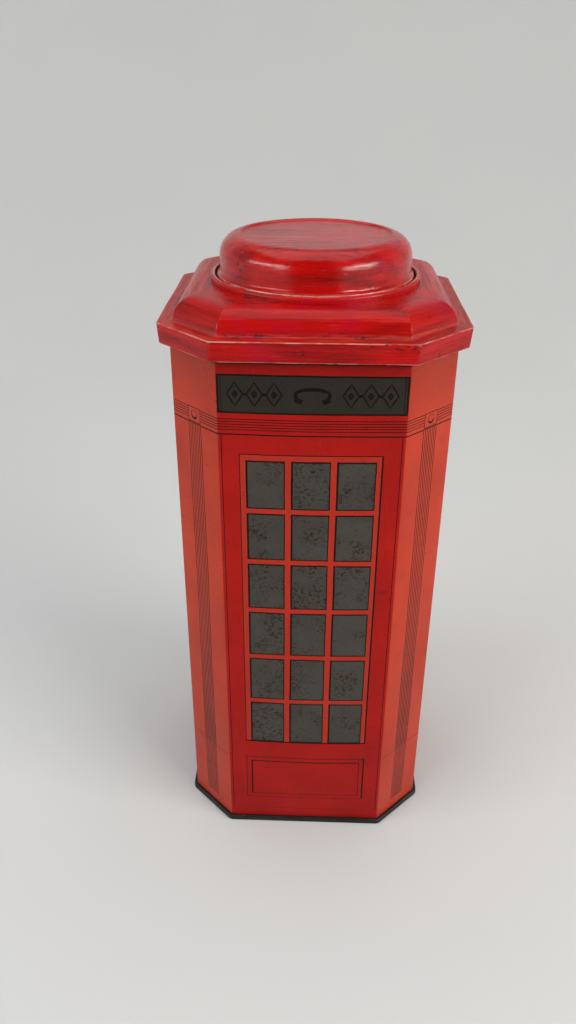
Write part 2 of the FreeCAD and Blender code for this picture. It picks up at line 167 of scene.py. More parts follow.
class TinColours(PropertyGroup):
    """Colours of the inks, paints and metals."""

    field: colour("Field red", "Printed red of the flats", 0.35, 0.006, 0.003)
    bars: colour("Bar red", "Lighter printed red of the frame and glazing bars", 0.37, 0.022, 0.009)
    cuts: colour("Corner red", "Faded printed red of the corner cuts", 0.44, 0.034, 0.010)
    glass: colour("Pane grey", "Printed grey of the panes", 0.052, 0.047, 0.040)
    sign: colour("Sign grey", "Printed grey of the sign", 0.022, 0.019, 0.014)
    ink: colour("Line black", "Ink of the printed lines", 0.008, 0.003, 0.002)
    rust: colour("Rust", "Rust that comes through the print", 0.022, 0.009, 0.004)
    enamel: colour("Enamel", "Brushed gloss paint of the lid and cap", 0.39, 0.002, 0.001)
    enamel_dark: colour("Enamel, thick", "Where the gloss paint lies thick", 0.13, 0.001, 0.001)
    enamel_pink: colour("Enamel, pink", "Where the gloss paint has a pink cast", 0.33, 0.001, 0.035)
    undercoat: colour("Undercoat", "Older paint where the gloss is thin or rubbed", 0.42, 0.035, 0.010)
    brass: colour("Rubbed edge", "Tarnished metal along rubbed edges", 0.42, 0.24, 0.10)
    # Painted shade: besides dirt in chips and pits, this near-black stands for the shade in the gaps under
    # the skirt, round the cap's rim and the bead.
    grime: colour("Grime", "Dried dirt in gaps and along edges", 0.016, 0.006, 0.004)
    tin: colour("Tinplate", "Bare tinplate", 0.42, 0.40, 0.36)
    varnish: colour("Rim varnish", "Black varnish on the foot's fold", 0.010, 0.007, 0.006)


class StageSettings(PropertyGroup):
    """The studio: where the camera stands, and how bright the lights are."""

    eye: FloatVectorProperty(
        name="Eye", description="Where the camera stands", default=(0.00041, -0.22225, 0.21444),
        subtype="TRANSLATION", precision=5
    )
    tilt: FloatProperty(
        name="Tilt", description="How far the camera looks down", default=math.radians(29.07),
        subtype="ANGLE"
    )
    turn: FloatProperty(
        name="Turn", description="How far the camera looks to the left", default=math.radians(1.83),
        subtype="ANGLE"
    )
    roll: FloatProperty(
        name="Roll", description="How far the camera leans", default=math.radians(0.327), subtype="ANGLE"
    )
    lens: FloatProperty(
        name="Lens", description="Focal length for a 36 mm sensor", default=29.99, subtype="DISTANCE_CAMERA"
    )
    left_light: FloatProperty(
        name="Left light", description="Power of the cool strip light at the left", default=5.5,
        unit="POWER"
    )
    right_light: FloatProperty(
        name="Right light", description="Power of the warm strip light at the right", default=8.2,
        unit="POWER"
    )
    overhead: FloatProperty(
        name="Overhead light", description="Power of the broad light above", default=11.0, unit="POWER"
    )
    room: FloatProperty(name="Room light", description="Strength of the room's even light", default=0.155)


# ---------------------------------------------------------------- the frame's own measures

def furthest(node, face):
    """How far a CAD node reaches in the direction of one of the octagon's faces."""
    angle = face * FACE_TURN - math.pi / 2
    out = Vector((math.cos(angle), math.sin(angle), 0))
    return max(out.dot(vertex.co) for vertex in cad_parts[node].data.vertices)


def settings():
    """The scene's sizes, artwork and colours."""
    scene = bpy.context.scene
    return scene.tin_sizes, scene.tin_artwork, scene.tin_colours


def face_distance(face):
    """How far one of the body's faces lies from the tin's axis."""
    return furthest("body_front", (0, 1)[face % 2]) - bpy.context.scene.tin_sizes.curl_width


# ---------------------------------------------------------------- paths and sections

class Column(NamedTuple):
    """An upright line: `along` a face from -1 to 1, or `turn` (0 to 1) round the bend after it."""

    face: int
    along: float
    turn: float = 0.0


class Spot(NamedTuple):
    """A corner of a section. With no `corner` radius its path is round and `out` is its radius.
    Otherwise `out` is how far it stands outside the body's faces. `finish` is that of the side
    from this spot to the next."""

    out: float
    height: float
    corner: float
    finish: str


class Octagon:
    """The eight-sided path, and points on it."""

    def __init__(self):
        self.distances = [face_distance(face) for face in (0, 1)]

    def half_flat(self, face, out, corner):
        """Half the straight part of a face."""
        near = self.distances[face % 2] + out
        far = self.distances[(face + 1) % 2] + out
        side = (far - near * math.cos(FACE_TURN)) / math.sin(FACE_TURN)
        return side - corner * math.tan(HALF_TURN)

    def point(self, column, out, corner):
        """The point of a column at one offset from the body's faces."""
        normal = column.face * FACE_TURN - math.pi / 2
        outward = Vector((math.cos(normal), math.sin(normal), 0))
        forward = Vector((-math.sin(normal), math.cos(normal), 0))
        near = self.distances[column.face % 2] + out
        half = self.half_flat(column.face, out, corner)
        if not column.turn:
            return outward * near + forward * half * column.along
        angle = normal + FACE_TURN * column.turn
        bend = Vector((math.cos(angle), math.sin(angle), 0)) * corner
        return outward * (near - corner) + forward * half + bend

    def place(self, column, spot):
        """Where a spot of a section stands at a column."""
        if spot.corner is None:
            here = self.point(column, 0, MM)
            angle = math.atan2(here.y, here.x)
            return Vector((spot.out * math.cos(angle), spot.out * math.sin(angle), spot.height))
        here = self.point(column, spot.out, spot.corner)
        here.z = spot.height
        return here


def spread(low, high, count):
    """`count` + 1 even steps from low to high."""
    return [low + (high - low) * step / count for step in range(count + 1)]


def round_columns(flat_steps, cut_steps, bend_steps):
    """Columns all the way round the octagon."""
    columns = []
    for face in range(FACES):
        steps = cut_steps if face % 2 else flat_steps
        columns += [Column(face, along) for along in spread(-1, 1, steps)]
        columns += [Column(face, 1, turn) for turn in spread(0, 1, bend_steps)[1:-1]]
    return columns


def quarter(out, height, radius, start, end, corner, finish, steps=5, grows=1):
    """Spots on an arc of a section, from one angle to another, in degrees."""
    spots = []
    for angle in spread(math.radians(start), math.radians(end), steps):
        reach = out + radius * math.cos(angle)
        rounding = None if corner is None else max(corner + grows * (reach - out), 0.1 * MM)
        spots.append(Spot(reach, height + radius * math.sin(angle), rounding, finish))
    return spots


def shake(point, depth, pitch, seed=0.0):
    """A point pushed about by dents no deeper than `depth`, about `pitch` apart."""
    return point + noise.noise_vector(point / pitch + Vector((seed, 0, 0))) * depth


def make_piece(name, columns, section, placed, finishes, closed=True, fill=False, finish_at=None):
    """Carry a section along columns. `placed` gives a spot's place at a column. A closed section makes a
    ring, and `fill` closes it at its first and last spots instead, for a piece that covers the axis.
    `finish_at` may choose a finish by column and spot, for printed sheet."""
    names = sorted(finishes)
    builder = bmesh.new()
    grid = [[builder.verts.new(placed(column, spot)) for spot in section] for column in columns]
    spans = len(columns) if closed else len(columns) - 1
    sides = len(section) - 1 if fill else len(section)
    for at in range(spans):
        here, there = grid[at], grid[(at + 1) % len(columns)]
        for side in range(sides):
            after = (side + 1) % len(section)
            face = builder.faces.new((here[side], there[side], there[after], here[after]))
            finish = section[side].finish
            if finish_at and finish == "print":
                finish = finish_at(at, side)
            face.material_index = names.index(finish)
            face.smooth = True
    if fill:
        for edge, turned in ((0, True), (-1, False)):
            rim = [line[edge] for line in grid]
            face = builder.faces.new(rim[::-1] if turned else rim)
            face.material_index = names.index(section[edge].finish)
    if not closed:
        for line, turned in ((grid[0], False), (grid[-1], True)):
            face = builder.faces.new(line[::-1] if turned else line)
            face.material_index = names.index("tin")
    bmesh.ops.recalc_face_normals(builder, faces=builder.faces)
    return finish_mesh(name, builder, [finishes[key] for key in names])


def finish_mesh(name, builder, materials):
    """Turn a bmesh into an object with its materials, smooth apart from its sharp edges."""
    mesh = bpy.data.meshes.new(name)
    builder.to_mesh(mesh)
    builder.free()
    for material in materials:
        mesh.materials.append(material)
    mesh.set_sharp_from_angle(angle=SHARP_ANGLE)
    piece = bpy.data.objects.new(name, mesh)
    bpy.context.scene.collection.objects.link(piece)
    return piece


def circle(builder, middle, radius, height, steps):
    """A level ring of vertices."""
    return [
        builder.verts.new((middle.x + radius * math.cos(turn), middle.y + radius * math.sin(turn), height))
        for turn in spread(0, math.tau, steps)[:-1]
    ]


def join_rings(builder, rings):
    """Faces between each ring of vertices and the next."""
    faces = []
    for here, there in zip(rings, rings[1:]):
        for at in range(len(here)):
            after = (at + 1) % len(here)
            faces.append(builder.faces.new((here[at], here[after], there[after], there[at])))
    return faces


def stand_for(piece, body, slot, *nodes):
    """Put a finished piece on its body, in place of its CAD nodes."""
    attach(piece, body)
    if nodes:
        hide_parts(*nodes)


# ---------------------------------------------------------------- finishes

class Recipe:
    """A finish in the making: its material, its shader, and short ways to wire nodes."""

    def __init__(self, name, roughness, metallic=0.0, specular=0.5, coat=0.0, coat_roughness=0.1):
        self.material = bpy.data.materials.new(name)
        self.material.use_nodes = True
        self.tree = self.material.node_tree
        self.shader = self.tree.nodes["Principled BSDF"]
        self.shader.inputs["Roughness"].default_value = roughness
        self.shader.inputs["Metallic"].default_value = metallic
        self.shader.inputs["Specular IOR Level"].default_value = specular
        self.shader.inputs["Coat Weight"].default_value = coat
        self.shader.inputs["Coat Roughness"].default_value = coat_roughness
        self.where = self.add("ShaderNodeTexCoord").outputs["Object"]

    def add(self, kind, **values):
        """A node whose inputs are set to values or wired to sockets."""
        node = self.tree.nodes.new(kind)
        for key, value in values.items():
            self.feed(node.inputs[key.replace("_", " ")], value)
        return node

    def feed(self, socket, value):
        """Wire a socket to another, or set its value."""
        if isinstance(value, bpy.types.NodeSocket):
            self.tree.links.new(value, socket)
        elif socket.type == "RGBA":
            socket.default_value = (*value, 1.0)
        else:
            socket.default_value = value

    def scaled(self, size, seed=0.0, where=None):
        """Coordinates divided by a size in metres along each axis."""
        if isinstance(size, (int, float)):
            size = (size, size, size)
        mapping = self.add("ShaderNodeMapping", Vector=where or self.where)
        mapping.inputs["Scale"].default_value = [1 / side for side in size]
        mapping.inputs["Location"].default_value = (seed, seed * 0.7, seed * 1.3)
        return mapping.outputs[0]

    def cloud(self, size, detail=3.0, seed=0.0, where=None, roughness=0.55):
        """Smooth noise from about 0.2 to 0.8, with lumps of a size in metres."""
        texture = self.add(
            "ShaderNodeTexNoise", Vector=self.scaled(size, seed, where), Scale=1.0, Detail=detail,
            Roughness=roughness
        )
        return texture.outputs[0]

    def window(self, value, low, high, least=0.0, most=1.0):
        """A value stretched so that low to high becomes least to most, and no further."""
        node = self.add("ShaderNodeMapRange", Value=value)
        for socket, number in zip(node.inputs[1:5], (low, high, least, most)):
            socket.default_value = number
        return node.outputs[0]

    def combine(self, operation, *values):
        """Arithmetic on two or three values."""
        node = self.tree.nodes.new("ShaderNodeMath")
        node.operation = operation
        for socket, value in zip(node.inputs, values):
            self.feed(socket, value)
        return node.outputs[0]

    def blend(self, share, first, second):
        """Two colours, the second by its share."""
        node = self.tree.nodes.new("ShaderNodeMix")
        node.data_type = "RGBA"
        self.feed(node.inputs["Factor"], share)
        self.feed(node.inputs[6], first)
        self.feed(node.inputs[7], second)
        return node.outputs[2]

    def height(self):
        """Height above the ground, in metres."""
        return self.add("ShaderNodeSeparateXYZ", Vector=self.where).outputs["Z"]

    def upward(self):
        """1 where a surface faces up, 0 where it is upright."""
        normal = self.add("ShaderNodeNewGeometry").outputs["True Normal"]
        return self.window(self.add("ShaderNodeSeparateXYZ", Vector=normal).outputs["Z"], 0.35, 0.9)

    def round_axis(self):
        """Coordinates that run round the tin's axis: arc, radius, height."""
        parts = self.add("ShaderNodeSeparateXYZ", Vector=self.where)
        angle = self.combine("ARCTAN2", parts.outputs["Y"], parts.outputs["X"])
        arc = self.combine("MULTIPLY", angle, 0.025)
        squares = [self.combine("MULTIPLY", parts.outputs[axis], parts.outputs[axis]) for axis in "XY"]
        radius = self.combine("SQRT", self.combine("ADD", *squares), 0.0)
        return self.add("ShaderNodeCombineXYZ", X=arc, Y=radius, Z=parts.outputs["Z"]).outputs[0]

    def round_faces(self):
        """Coordinates that run along the octagon's faces: along a face, how far out, height. Each face has
        its own shift, so that no two look alike."""
        flat, cut = (face_distance(face) for face in (0, 1))
        parts = self.add("ShaderNodeSeparateXYZ", Vector=self.where).outputs
        size_x, size_y = (self.combine("ABSOLUTE", parts[axis], 0.0) for axis in "XY")
        flat_out = self.combine("SUBTRACT", self.combine("MAXIMUM", size_x, size_y), flat)
        both = self.combine("MULTIPLY", self.combine("ADD", size_x, size_y), math.sqrt(0.5))
        cut_out = self.combine("SUBTRACT", both, cut)
        on_cut = self.combine("GREATER_THAN", cut_out, flat_out)
        on_side = self.combine("GREATER_THAN", size_x, size_y)
        along_flat = self.add("ShaderNodeMix", Factor=on_side, A=parts["X"], B=parts["Y"]).outputs[0]
        across_cut = self.combine("MULTIPLY", self.combine("SUBTRACT", size_x, size_y), math.sqrt(0.5))
        along = self.add("ShaderNodeMix", Factor=on_cut, A=along_flat, B=across_cut).outputs[0]
        shift = self.combine("MULTIPLY", on_cut, 93 * MM)
        on_front = self.combine("SUBTRACT", 1.0, on_side)
        for axis, share, far in (("X", on_side, 31 * MM), ("Y", on_front, 57 * MM)):
            side = self.combine("MULTIPLY", self.combine("SIGN", parts[axis], 0.0), far)
            shift = self.combine("MULTIPLY_ADD", side, self.combine("MAXIMUM", share, on_cut), shift)
        out = self.combine("ADD", self.combine("MAXIMUM", flat_out, cut_out), shift)
        return self.add("ShaderNodeCombineXYZ", X=along, Y=out, Z=parts["Z"]).outputs[0]

    def paint(self, shade):
        """Use a colour."""
        self.feed(self.shader.inputs["Base Color"], shade)

    def roughen(self, value, low, high):
        """Let a value from 0 to 1 carry the roughness from low to high."""
        self.feed(self.shader.inputs["Roughness"], self.window(value, 0.25, 0.75, low, high))

    def relief(self, value, depth):
        """Bump the surface by a value times a depth in metres."""
        bump = self.add("ShaderNodeBump", Height=value, Strength=1.0, Distance=depth)
        self.feed(self.shader.inputs["Normal"], bump.outputs[0])


def dirt(recipe, shade, amount=0.55, seed=0.0):
    """Brown specks, dark smears and long scuffs over a printed colour."""
    patches = recipe.window(recipe.cloud(9 * MM, 4, seed), 0.45, 0.7)
    specks = recipe.window(recipe.cloud(0.5 * MM, 2, seed + 3), 0.64, 0.71)
    marks = recipe.combine("MULTIPLY", specks, recipe.combine("ADD", patches, 0.3))
    shade = recipe.blend(recipe.combine("MULTIPLY", marks, amount), shade, (0.030, 0.006, 0.004))
    smears = recipe.cloud((3.5 * MM, 3.5 * MM, 2.2 * MM), 5, seed + 7, roughness=0.62)
    nearby = recipe.combine("ADD", patches, 0.1)
    smears = recipe.combine("MULTIPLY", recipe.window(smears, 0.6, 0.74), nearby)
    shade = recipe.blend(recipe.combine("MULTIPLY", smears, amount * 0.9), shade, (0.07, 0.007, 0.005))
    scuffs = recipe.cloud((0.3 * MM, 0.3 * MM, 6 * MM), 2, seed + 5)
    lost = recipe.combine("MULTIPLY", recipe.window(scuffs, 0.68, 0.73), patches)
    return recipe.blend(recipe.combine("MULTIPLY", lost, amount * 0.5), shade, (0.42, 0.09, 0.05))


def printed_red(name, red, deepen=0.3, specular=0.3, seed=0.0):
    """Litho-printed red under a thin varnish: uneven ink, grain, specks and scuffs, darker and bluer towards
    the foot, with painted shade darkening it under the lid's skirt.
    """
    recipe = Recipe(name, 0.4, specular=specular)
    deep = [red[0] * 0.6, red[1] * 0.5, red[2] * 0.7]
    uneven = recipe.window(recipe.cloud(17 * MM, 5, seed), 0.36, 0.68, 0, deepen * 1.7)
    shade = recipe.blend(uneven, red, deep)
    low = recipe.window(recipe.height(), 0.0, 0.085, deepen, 0.0)
    shade = recipe.blend(low, shade, [red[0] * 0.62, red[1] * 0.9, red[2] * 1.9])
    # Painted shade: the red darkens from 137 mm up to 149 mm, under the lid's overhanging skirt.
    high = recipe.window(recipe.height(), 0.137, 0.149, 0.0, 0.6)
    shade = recipe.blend(high, shade, [red[0] * 0.55, red[1] * 0.5, red[2] * 0.6])
    grain = recipe.window(recipe.cloud(0.4 * MM, 2, seed + 1), 0.35, 0.7, 0, 0.22)
    shade = recipe.blend(grain, shade, deep)
    recipe.paint(dirt(recipe, shade, 0.8, seed))
    smears = recipe.cloud((14 * MM, 14 * MM, 30 * MM), 4, seed + 2)
    recipe.roughen(smears, 0.32, 0.52)
    recipe.relief(recipe.cloud(1.6 * MM, 3, seed + 4), 0.012 * MM)
    return recipe.material


def printed_reeds(name, red, brown):
    """Ground of the pilasters: the corner's red, browner towards the foot, where the ink has spread."""
    recipe = Recipe(name, 0.42, specular=0.2)
    share = recipe.window(recipe.height(), 0.015, 0.09, 0.75, 0.06)
    share = recipe.combine("MULTIPLY", share, recipe.window(recipe.cloud(6 * MM), 0.3, 0.6, 0.6, 1))
    recipe.paint(dirt(recipe, recipe.blend(share, red, brown), 0.8, 11))
    recipe.relief(recipe.cloud(1.6 * MM, 3), 0.012 * MM)
    return recipe.material


def printed_grey(name, grey, rust, amount, seed=0.0):
    """Printed grey of panes and sign: fine grain, dark pinholes and blooms of rust."""
    recipe = Recipe(name, 0.42, specular=0.12)
    dark = [channel * 0.45 for channel in grey]
    grain = recipe.window(recipe.cloud(0.28 * MM, 3, seed), 0.32, 0.72, 0, 0.65)
    shade = recipe.blend(grain, grey, dark)
    cloudy = recipe.window(recipe.cloud(12 * MM, 3, seed + 1), 0.3, 0.7, 0, 0.35)
    shade = recipe.blend(cloudy, shade, [channel * 1.3 for channel in grey])
    blooms = recipe.window(recipe.cloud(8 * MM, 3, seed + 2), 0.46, 0.62)
    spots = recipe.cloud((1.0 * MM, 1.0 * MM, 0.7 * MM), 6, seed + 3, roughness=0.75)
    spots = recipe.window(spots, 0.5, 0.58)
    rusty = recipe.combine("MULTIPLY", recipe.combine("MULTIPLY", blooms, spots), amount)
    shade = recipe.blend(rusty, shade, rust)
    pinholes = recipe.window(recipe.cloud(0.45 * MM, 2, seed + 4), 0.64, 0.70, 0, amount * 0.85)
    recipe.paint(recipe.blend(pinholes, shade, (0.014, 0.008, 0.006)))
    recipe.roughen(recipe.combine("ADD", recipe.cloud(10 * MM, 3, seed), rusty), 0.36, 0.62)
    recipe.relief(recipe.combine("ADD", grain, rusty), 0.010 * MM)
    return recipe.material


def printed_line(name, ink, strength, ground):
    """Line ink, with small breaks where it is worn."""
    recipe = Recipe(name, 0.45, specular=0.12)
    breaks = recipe.window(recipe.cloud(0.8 * MM, 3, 7), 0.58, 0.74, 1 - strength, 1.12 - strength)
    recipe.paint(recipe.blend(breaks, ink, ground))
    return recipe.material


def brushed_enamel(name, colours, wear, gloss, shine, run, seed=0.0):
    """Gloss paint put on with a small brush, streaky and ridged, and rubbed through by `wear`. The strokes
    run `round` the axis, or along the `faces`. `gloss` is its least roughness and `shine` its specular
    level."""
    recipe = Recipe(name, gloss, specular=shine)
    if run == "round":
        upright_run = recipe.cloud((20 * MM, 0.6 * MM, 0.6 * MM), 4, seed, recipe.round_axis())
        level_run = recipe.cloud((22 * MM, 0.7 * MM, 1.0 * MM), 4, seed)
        strokes = recipe.blend(recipe.upward(), upright_run, level_run)
        place = recipe.where
    else:
        place = recipe.round_faces()
        strokes = recipe.cloud((20 * MM, 0.6 * MM, 0.6 * MM), 4, seed, place)
    broad = recipe.cloud((24 * MM, 4 * MM, 3 * MM), 4, seed + 2, place)
    thick = recipe.window(recipe.combine("ADD", strokes, broad), 0.90, 1.26, 0, 0.85)
    shade = recipe.blend(thick, colours.enamel, colours.enamel_dark)
    pink = recipe.combine("MULTIPLY", recipe.window(recipe.cloud(11 * MM, 2, seed + 6), 0.54, 0.7), 0.3)
    shade = recipe.blend(pink, shade, colours.enamel_pink)
    thin = recipe.cloud((6 * MM, 0.8 * MM, 0.8 * MM), 5, seed + 3, place, roughness=0.65)
    rubbed = recipe.window(thin, 0.64 - 0.24 * wear, 0.78 - 0.16 * wear, 0, 0.45 + 0.45 * wear)
    shade = recipe.blend(rubbed, shade, colours.undercoat)
    fine, coarse = recipe.cloud(0.8 * MM, 3, seed + 4), recipe.cloud(6 * MM, 2, seed + 5)
    chips = recipe.combine("MULTIPLY", fine, coarse)
    chips = recipe.window(chips, 0.40 - 0.09 * wear, 0.44 - 0.09 * wear, 0, 0.85)
    recipe.paint(recipe.blend(chips, shade, colours.grime))
    uneven = recipe.combine("ADD", recipe.combine("MULTIPLY", strokes, 0.6), rubbed)
    recipe.roughen(uneven, gloss, gloss + 0.25)
    lumps = recipe.cloud((4 * MM, 2 * MM, 2 * MM), 2, seed, place)
    recipe.relief(recipe.combine("ADD", strokes, lumps), 0.085 * MM)
    return recipe.material


def rubbed_edge_and_highlight(name, colours):
    """Folded and rolled edges: pale pink blotches painted as a highlight along the edge, dark in its pits,
    worn to gold-brown metal in places.
    """
    recipe = Recipe(name, 0.2, specular=0.6)
    worn = recipe.cloud((2.5 * MM, 2.5 * MM, 0.8 * MM), 5, 21, roughness=0.7)
    worn = recipe.window(worn, 0.56, 0.63, 0, 0.8)
    where = recipe.window(recipe.cloud(17 * MM, 2, 22.6), 0.56, 0.66)
    worn = recipe.combine("MULTIPLY", worn, where)
    pits = recipe.window(recipe.cloud((1.6 * MM, 1.6 * MM, 1.6 * MM), 4, 26), 0.64, 0.69, 0, 0.85)
    tone = recipe.window(recipe.cloud(8 * MM, 3, 23), 0.4, 0.65)
    shade = recipe.blend(tone, colours.undercoat, colours.enamel)
    # Painted highlight: pale pink blotches that stand for the thin highlight along rolled and folded edges.
    pale = recipe.window(recipe.cloud((6 * MM, 6 * MM, 2 * MM), 3, 27), 0.42, 0.58, 0, 0.55)
    shade = recipe.blend(pale, shade, (0.62, 0.30, 0.25))
    shade = recipe.blend(pits, shade, colours.grime)
    recipe.paint(recipe.blend(worn, shade, colours.brass))
    recipe.feed(recipe.shader.inputs["Metallic"], recipe.combine("MULTIPLY", worn, 0.7))
    recipe.roughen(recipe.cloud(2 * MM, 3, 24), 0.14, 0.34)
    recipe.relief(recipe.cloud(1.2 * MM, 3, 25), 0.04 * MM)
    return recipe.material


def gap_shade_and_grime(name, grime, paint):
    """Painted shade: near-black in the gaps where shade falls, with dirt and old paint, thinner in places.
    """
    recipe = Recipe(name, 0.6, specular=0.1)
    thin = recipe.window(recipe.cloud(2.2 * MM, 4, 28), 0.56, 0.72, 0, 0.6)
    recipe.paint(recipe.blend(thin, grime, paint))
    recipe.relief(recipe.cloud(0.6 * MM, 3, 29), 0.03 * MM)
    return recipe.material


def bare_tin(name, tin, rust):
    """Bare tinplate: dull crystals, drawing lines and a little tarnish."""
    recipe = Recipe(name, 0.4, metallic=1.0)
    crystals = recipe.add("ShaderNodeTexVoronoi", Vector=recipe.scaled(4 * MM), Scale=1.0)
    shade = recipe.blend(recipe.window(crystals.outputs["Distance"], 0.1, 0.8), tin, [c * 0.7 for c in tin])
    tarnish = recipe.window(recipe.cloud(9 * MM, 5, 2), 0.52, 0.72, 0, 0.6)
    recipe.paint(recipe.blend(tarnish, shade, rust))
    recipe.roughen(recipe.cloud((12 * MM, 12 * MM, 0.5 * MM), 3, 4), 0.3, 0.52)
    recipe.relief(recipe.cloud((10 * MM, 10 * MM, 0.3 * MM), 3, 5), 0.006 * MM)
    return recipe.material


def rim_varnish(name, varnish, brass):
    """Black varnish of the foot's fold, rubbed to dull metal in places."""
    recipe = Recipe(name, 0.42, specular=0.2)
    worn = recipe.window(recipe.cloud((5 * MM, 5 * MM, 0.6 * MM), 5, 31, roughness=0.7), 0.6, 0.68, 0, 0.35)
    uneven = recipe.window(recipe.cloud(6 * MM, 3, 32), 0.4, 0.7)
    shade = recipe.blend(uneven, varnish, [c * 2 for c in varnish])
    recipe.paint(recipe.blend(worn, shade, [c * 0.3 for c in brass]))
    recipe.feed(recipe.shader.inputs["Metallic"], recipe.combine("MULTIPLY", worn, 0.7))
    recipe.roughen(recipe.cloud(3 * MM, 3, 33), 0.3, 0.55)
    recipe.relief(recipe.cloud(1.5 * MM, 3, 34), 0.03 * MM)
    return recipe.material


def drawn_wire(name, tin):
    """Dull steel wire with lengthwise drawing lines."""
    recipe = Recipe(name, 0.4, metallic=1.0)
    lines = recipe.cloud((9 * MM, 9 * MM, 0.08 * MM), 3, 41)
    recipe.paint(recipe.blend(recipe.window(lines, 0.3, 0.7), tin, [c * 0.6 for c in tin]))
    recipe.roughen(lines, 0.32, 0.5)
    return recipe.material


def body_finishes():
    """Finishes of the printed body, by name."""
    _, _, colours = settings()
    cuts = list(colours.cuts)
    if "Printed field red" in bpy.data.materials:
        return {key: bpy.data.materials[name] for key, name in BODY_FINISHES.items()}
    made = {
        "field": printed_red(BODY_FINISHES["field"], list(colours.field), 0.38, 0.12, 1),
        "bars": printed_red(BODY_FINISHES["bars"], list(colours.bars), 0.2, 0.15, 2),
        "cuts": printed_red(BODY_FINISHES["cuts"], cuts, 0.3, 0.2, 3),
        "reeds": printed_reeds(BODY_FINISHES["reeds"], cuts, (0.16, 0.020, 0.012)),
        "glass": printed_grey(BODY_FINISHES["glass"], list(colours.glass), colours.rust, 1.0, 4),
        "sign": printed_grey(BODY_FINISHES["sign"], list(colours.sign), colours.rust, 0.35, 5),
        "ink": printed_line(BODY_FINISHES["ink"], colours.ink, 1.0, list(colours.field)),
        "sign_ink": printed_line(BODY_FINISHES["sign_ink"], colours.ink, 1.0, list(colours.sign)),
        "faint": printed_line(BODY_FINISHES["faint"], (0.075, 0.005, 0.004), 0.85, list(colours.field)),
        "grime": gap_shade_and_grime(BODY_FINISHES["grime"], colours.grime, colours.enamel_dark),
        "tin": bare_tin(BODY_FINISHES["tin"], list(colours.tin), colours.rust),
    }
    return made


BODY_FINISHES = {
    "field": "Printed field red", "bars": "Printed bar red", "cuts": "Printed corner red",
    "reeds": "Printed pilaster", "glass": "Printed pane grey", "sign": "Printed sign grey",
    "ink": "Printed line", "faint": "Faint printed line", "tin": "Bare tinplate",
    "grime": "Grime under the skirt", "sign_ink": "Printed sign line",
}


def lid_finishes():
    """Finishes of the painted lid and cap, by name."""
    _, _, colours = settings()
    if "Brushed enamel" not in bpy.data.materials:
        brushed_enamel("Brushed enamel", colours, 0.15, 0.24, 0.2, "faces", 51)
        brushed_enamel("Worn enamel", colours, 0.6, 0.3, 0.45, "faces", 61)
        brushed_enamel("Cap enamel", colours, 0.2, 0.14, 0.32, "round", 71)
        # The rubbed edge also carries a painted highlight along the edges.
        rubbed_edge_and_highlight("Rubbed edge", colours)
        # The gaps' material is painted shade as well as grime.
        gap_shade_and_grime("Grime in the gaps", colours.grime, colours.enamel_dark)
        bare_tin("Bare lid tinplate", list(colours.tin), colours.rust)
    return {
        "enamel": bpy.data.materials["Brushed enamel"],
        "worn": bpy.data.materials["Worn enamel"],
        "cap": bpy.data.materials["Cap enamel"],
        "grime": bpy.data.materials["Grime in the gaps"],
        "edge": bpy.data.materials["Rubbed edge"],
        "tin": bpy.data.materials["Bare lid tinplate"],
    }


# ---------------------------------------------------------------- printed artwork

class Mark(NamedTuple):
    """A rectangle of one ink on a face, measured from the face's middle and from the ground."""

    ink: str
    left: float
    right: float
    low: float
    high: float


def framed(ink, left, right, low, high, sides):
    """A rectangle with black lines inside its left, right, lower and upper edges."""
    on_left, on_right, on_foot, on_top = sides
    inner = Mark(ink, left + on_left, right - on_right, low + on_foot, high - on_top)
    return [Mark("ink", left, right, low, high), inner]


def across(height, half, width, ink="ink"):
    """A level line from side to side."""
    return Mark(ink, -half, half, height - width / 2, height + width / 2)


def upright(place, low, high, width, ink="ink"):
    """An upright line."""
    return Mark(ink, place - width / 2, place + width / 2, low, high)


def frieze_marks(art, half):
    """The frieze's fine lines and the heavy one under them, which run on round the bends."""
    marks = [across(art.frieze + art.frieze_step * step, half, art.line) for step in range(art.frieze_count)]
    return marks + [across(art.transom, half, art.line * 1.6)]


def flat_marks(art, half):
    """The artwork of a flat: sign, frieze, door frame, panes and lower panel."""
    line, heavy = art.line, art.heavy_line
    marks = [across(art.skirting, half, line * 0.8, "faint")]
    marks += [upright(side * (half - line), art.skirting, art.transom, line) for side in (-1, 1)]
    marks += frieze_marks(art, half * 2)
    sign_half = half + art.sign_reach
    marks += framed("sign", -sign_half, sign_half, art.sign_low, art.sign_high, [heavy] * 4)
    inset = heavy + 2.5 * line
    marks += [
        upright(side * (sign_half - inset), art.sign_low, art.sign_high, line) for side in (-1, 1)
    ]
    frame_sides = (line, heavy, heavy, line * 1.2)
    marks += framed("bars", -art.frame_half, art.frame_half, art.frame_low, art.frame_high, frame_sides)
    step = art.pane_width + art.bar_width
    first = -(step * art.pane_columns - art.bar_width) / 2
    top = art.pane_top
    for row in range(art.pane_rows):
        pitch = art.pane_pitch + art.pane_growth * row
        tall = pitch - art.bar_width * 0.93
        for column in range(art.pane_columns):
            left = first + step * column
            sides = (heavy * 1.1, line * 1.4, line * 1.6, line * 2)
            marks += framed("glass", left, left + art.pane_width, top - tall, top, sides)
        top -= pitch
    outer = (line * 0.9, heavy, line * 0.7, line * 0.9)
    inner = (heavy, line * 0.9, line * 0.7, line * 1.7)
    half_panel, inset = art.panel_half, art.panel_moulding
    marks += framed("field", -half_panel, half_panel, art.panel_low, art.panel_high, outer)
    half_panel -= inset
    marks += framed("field", -half_panel, half_panel, art.panel_low + inset, art.panel_high - inset, inner)
    return marks


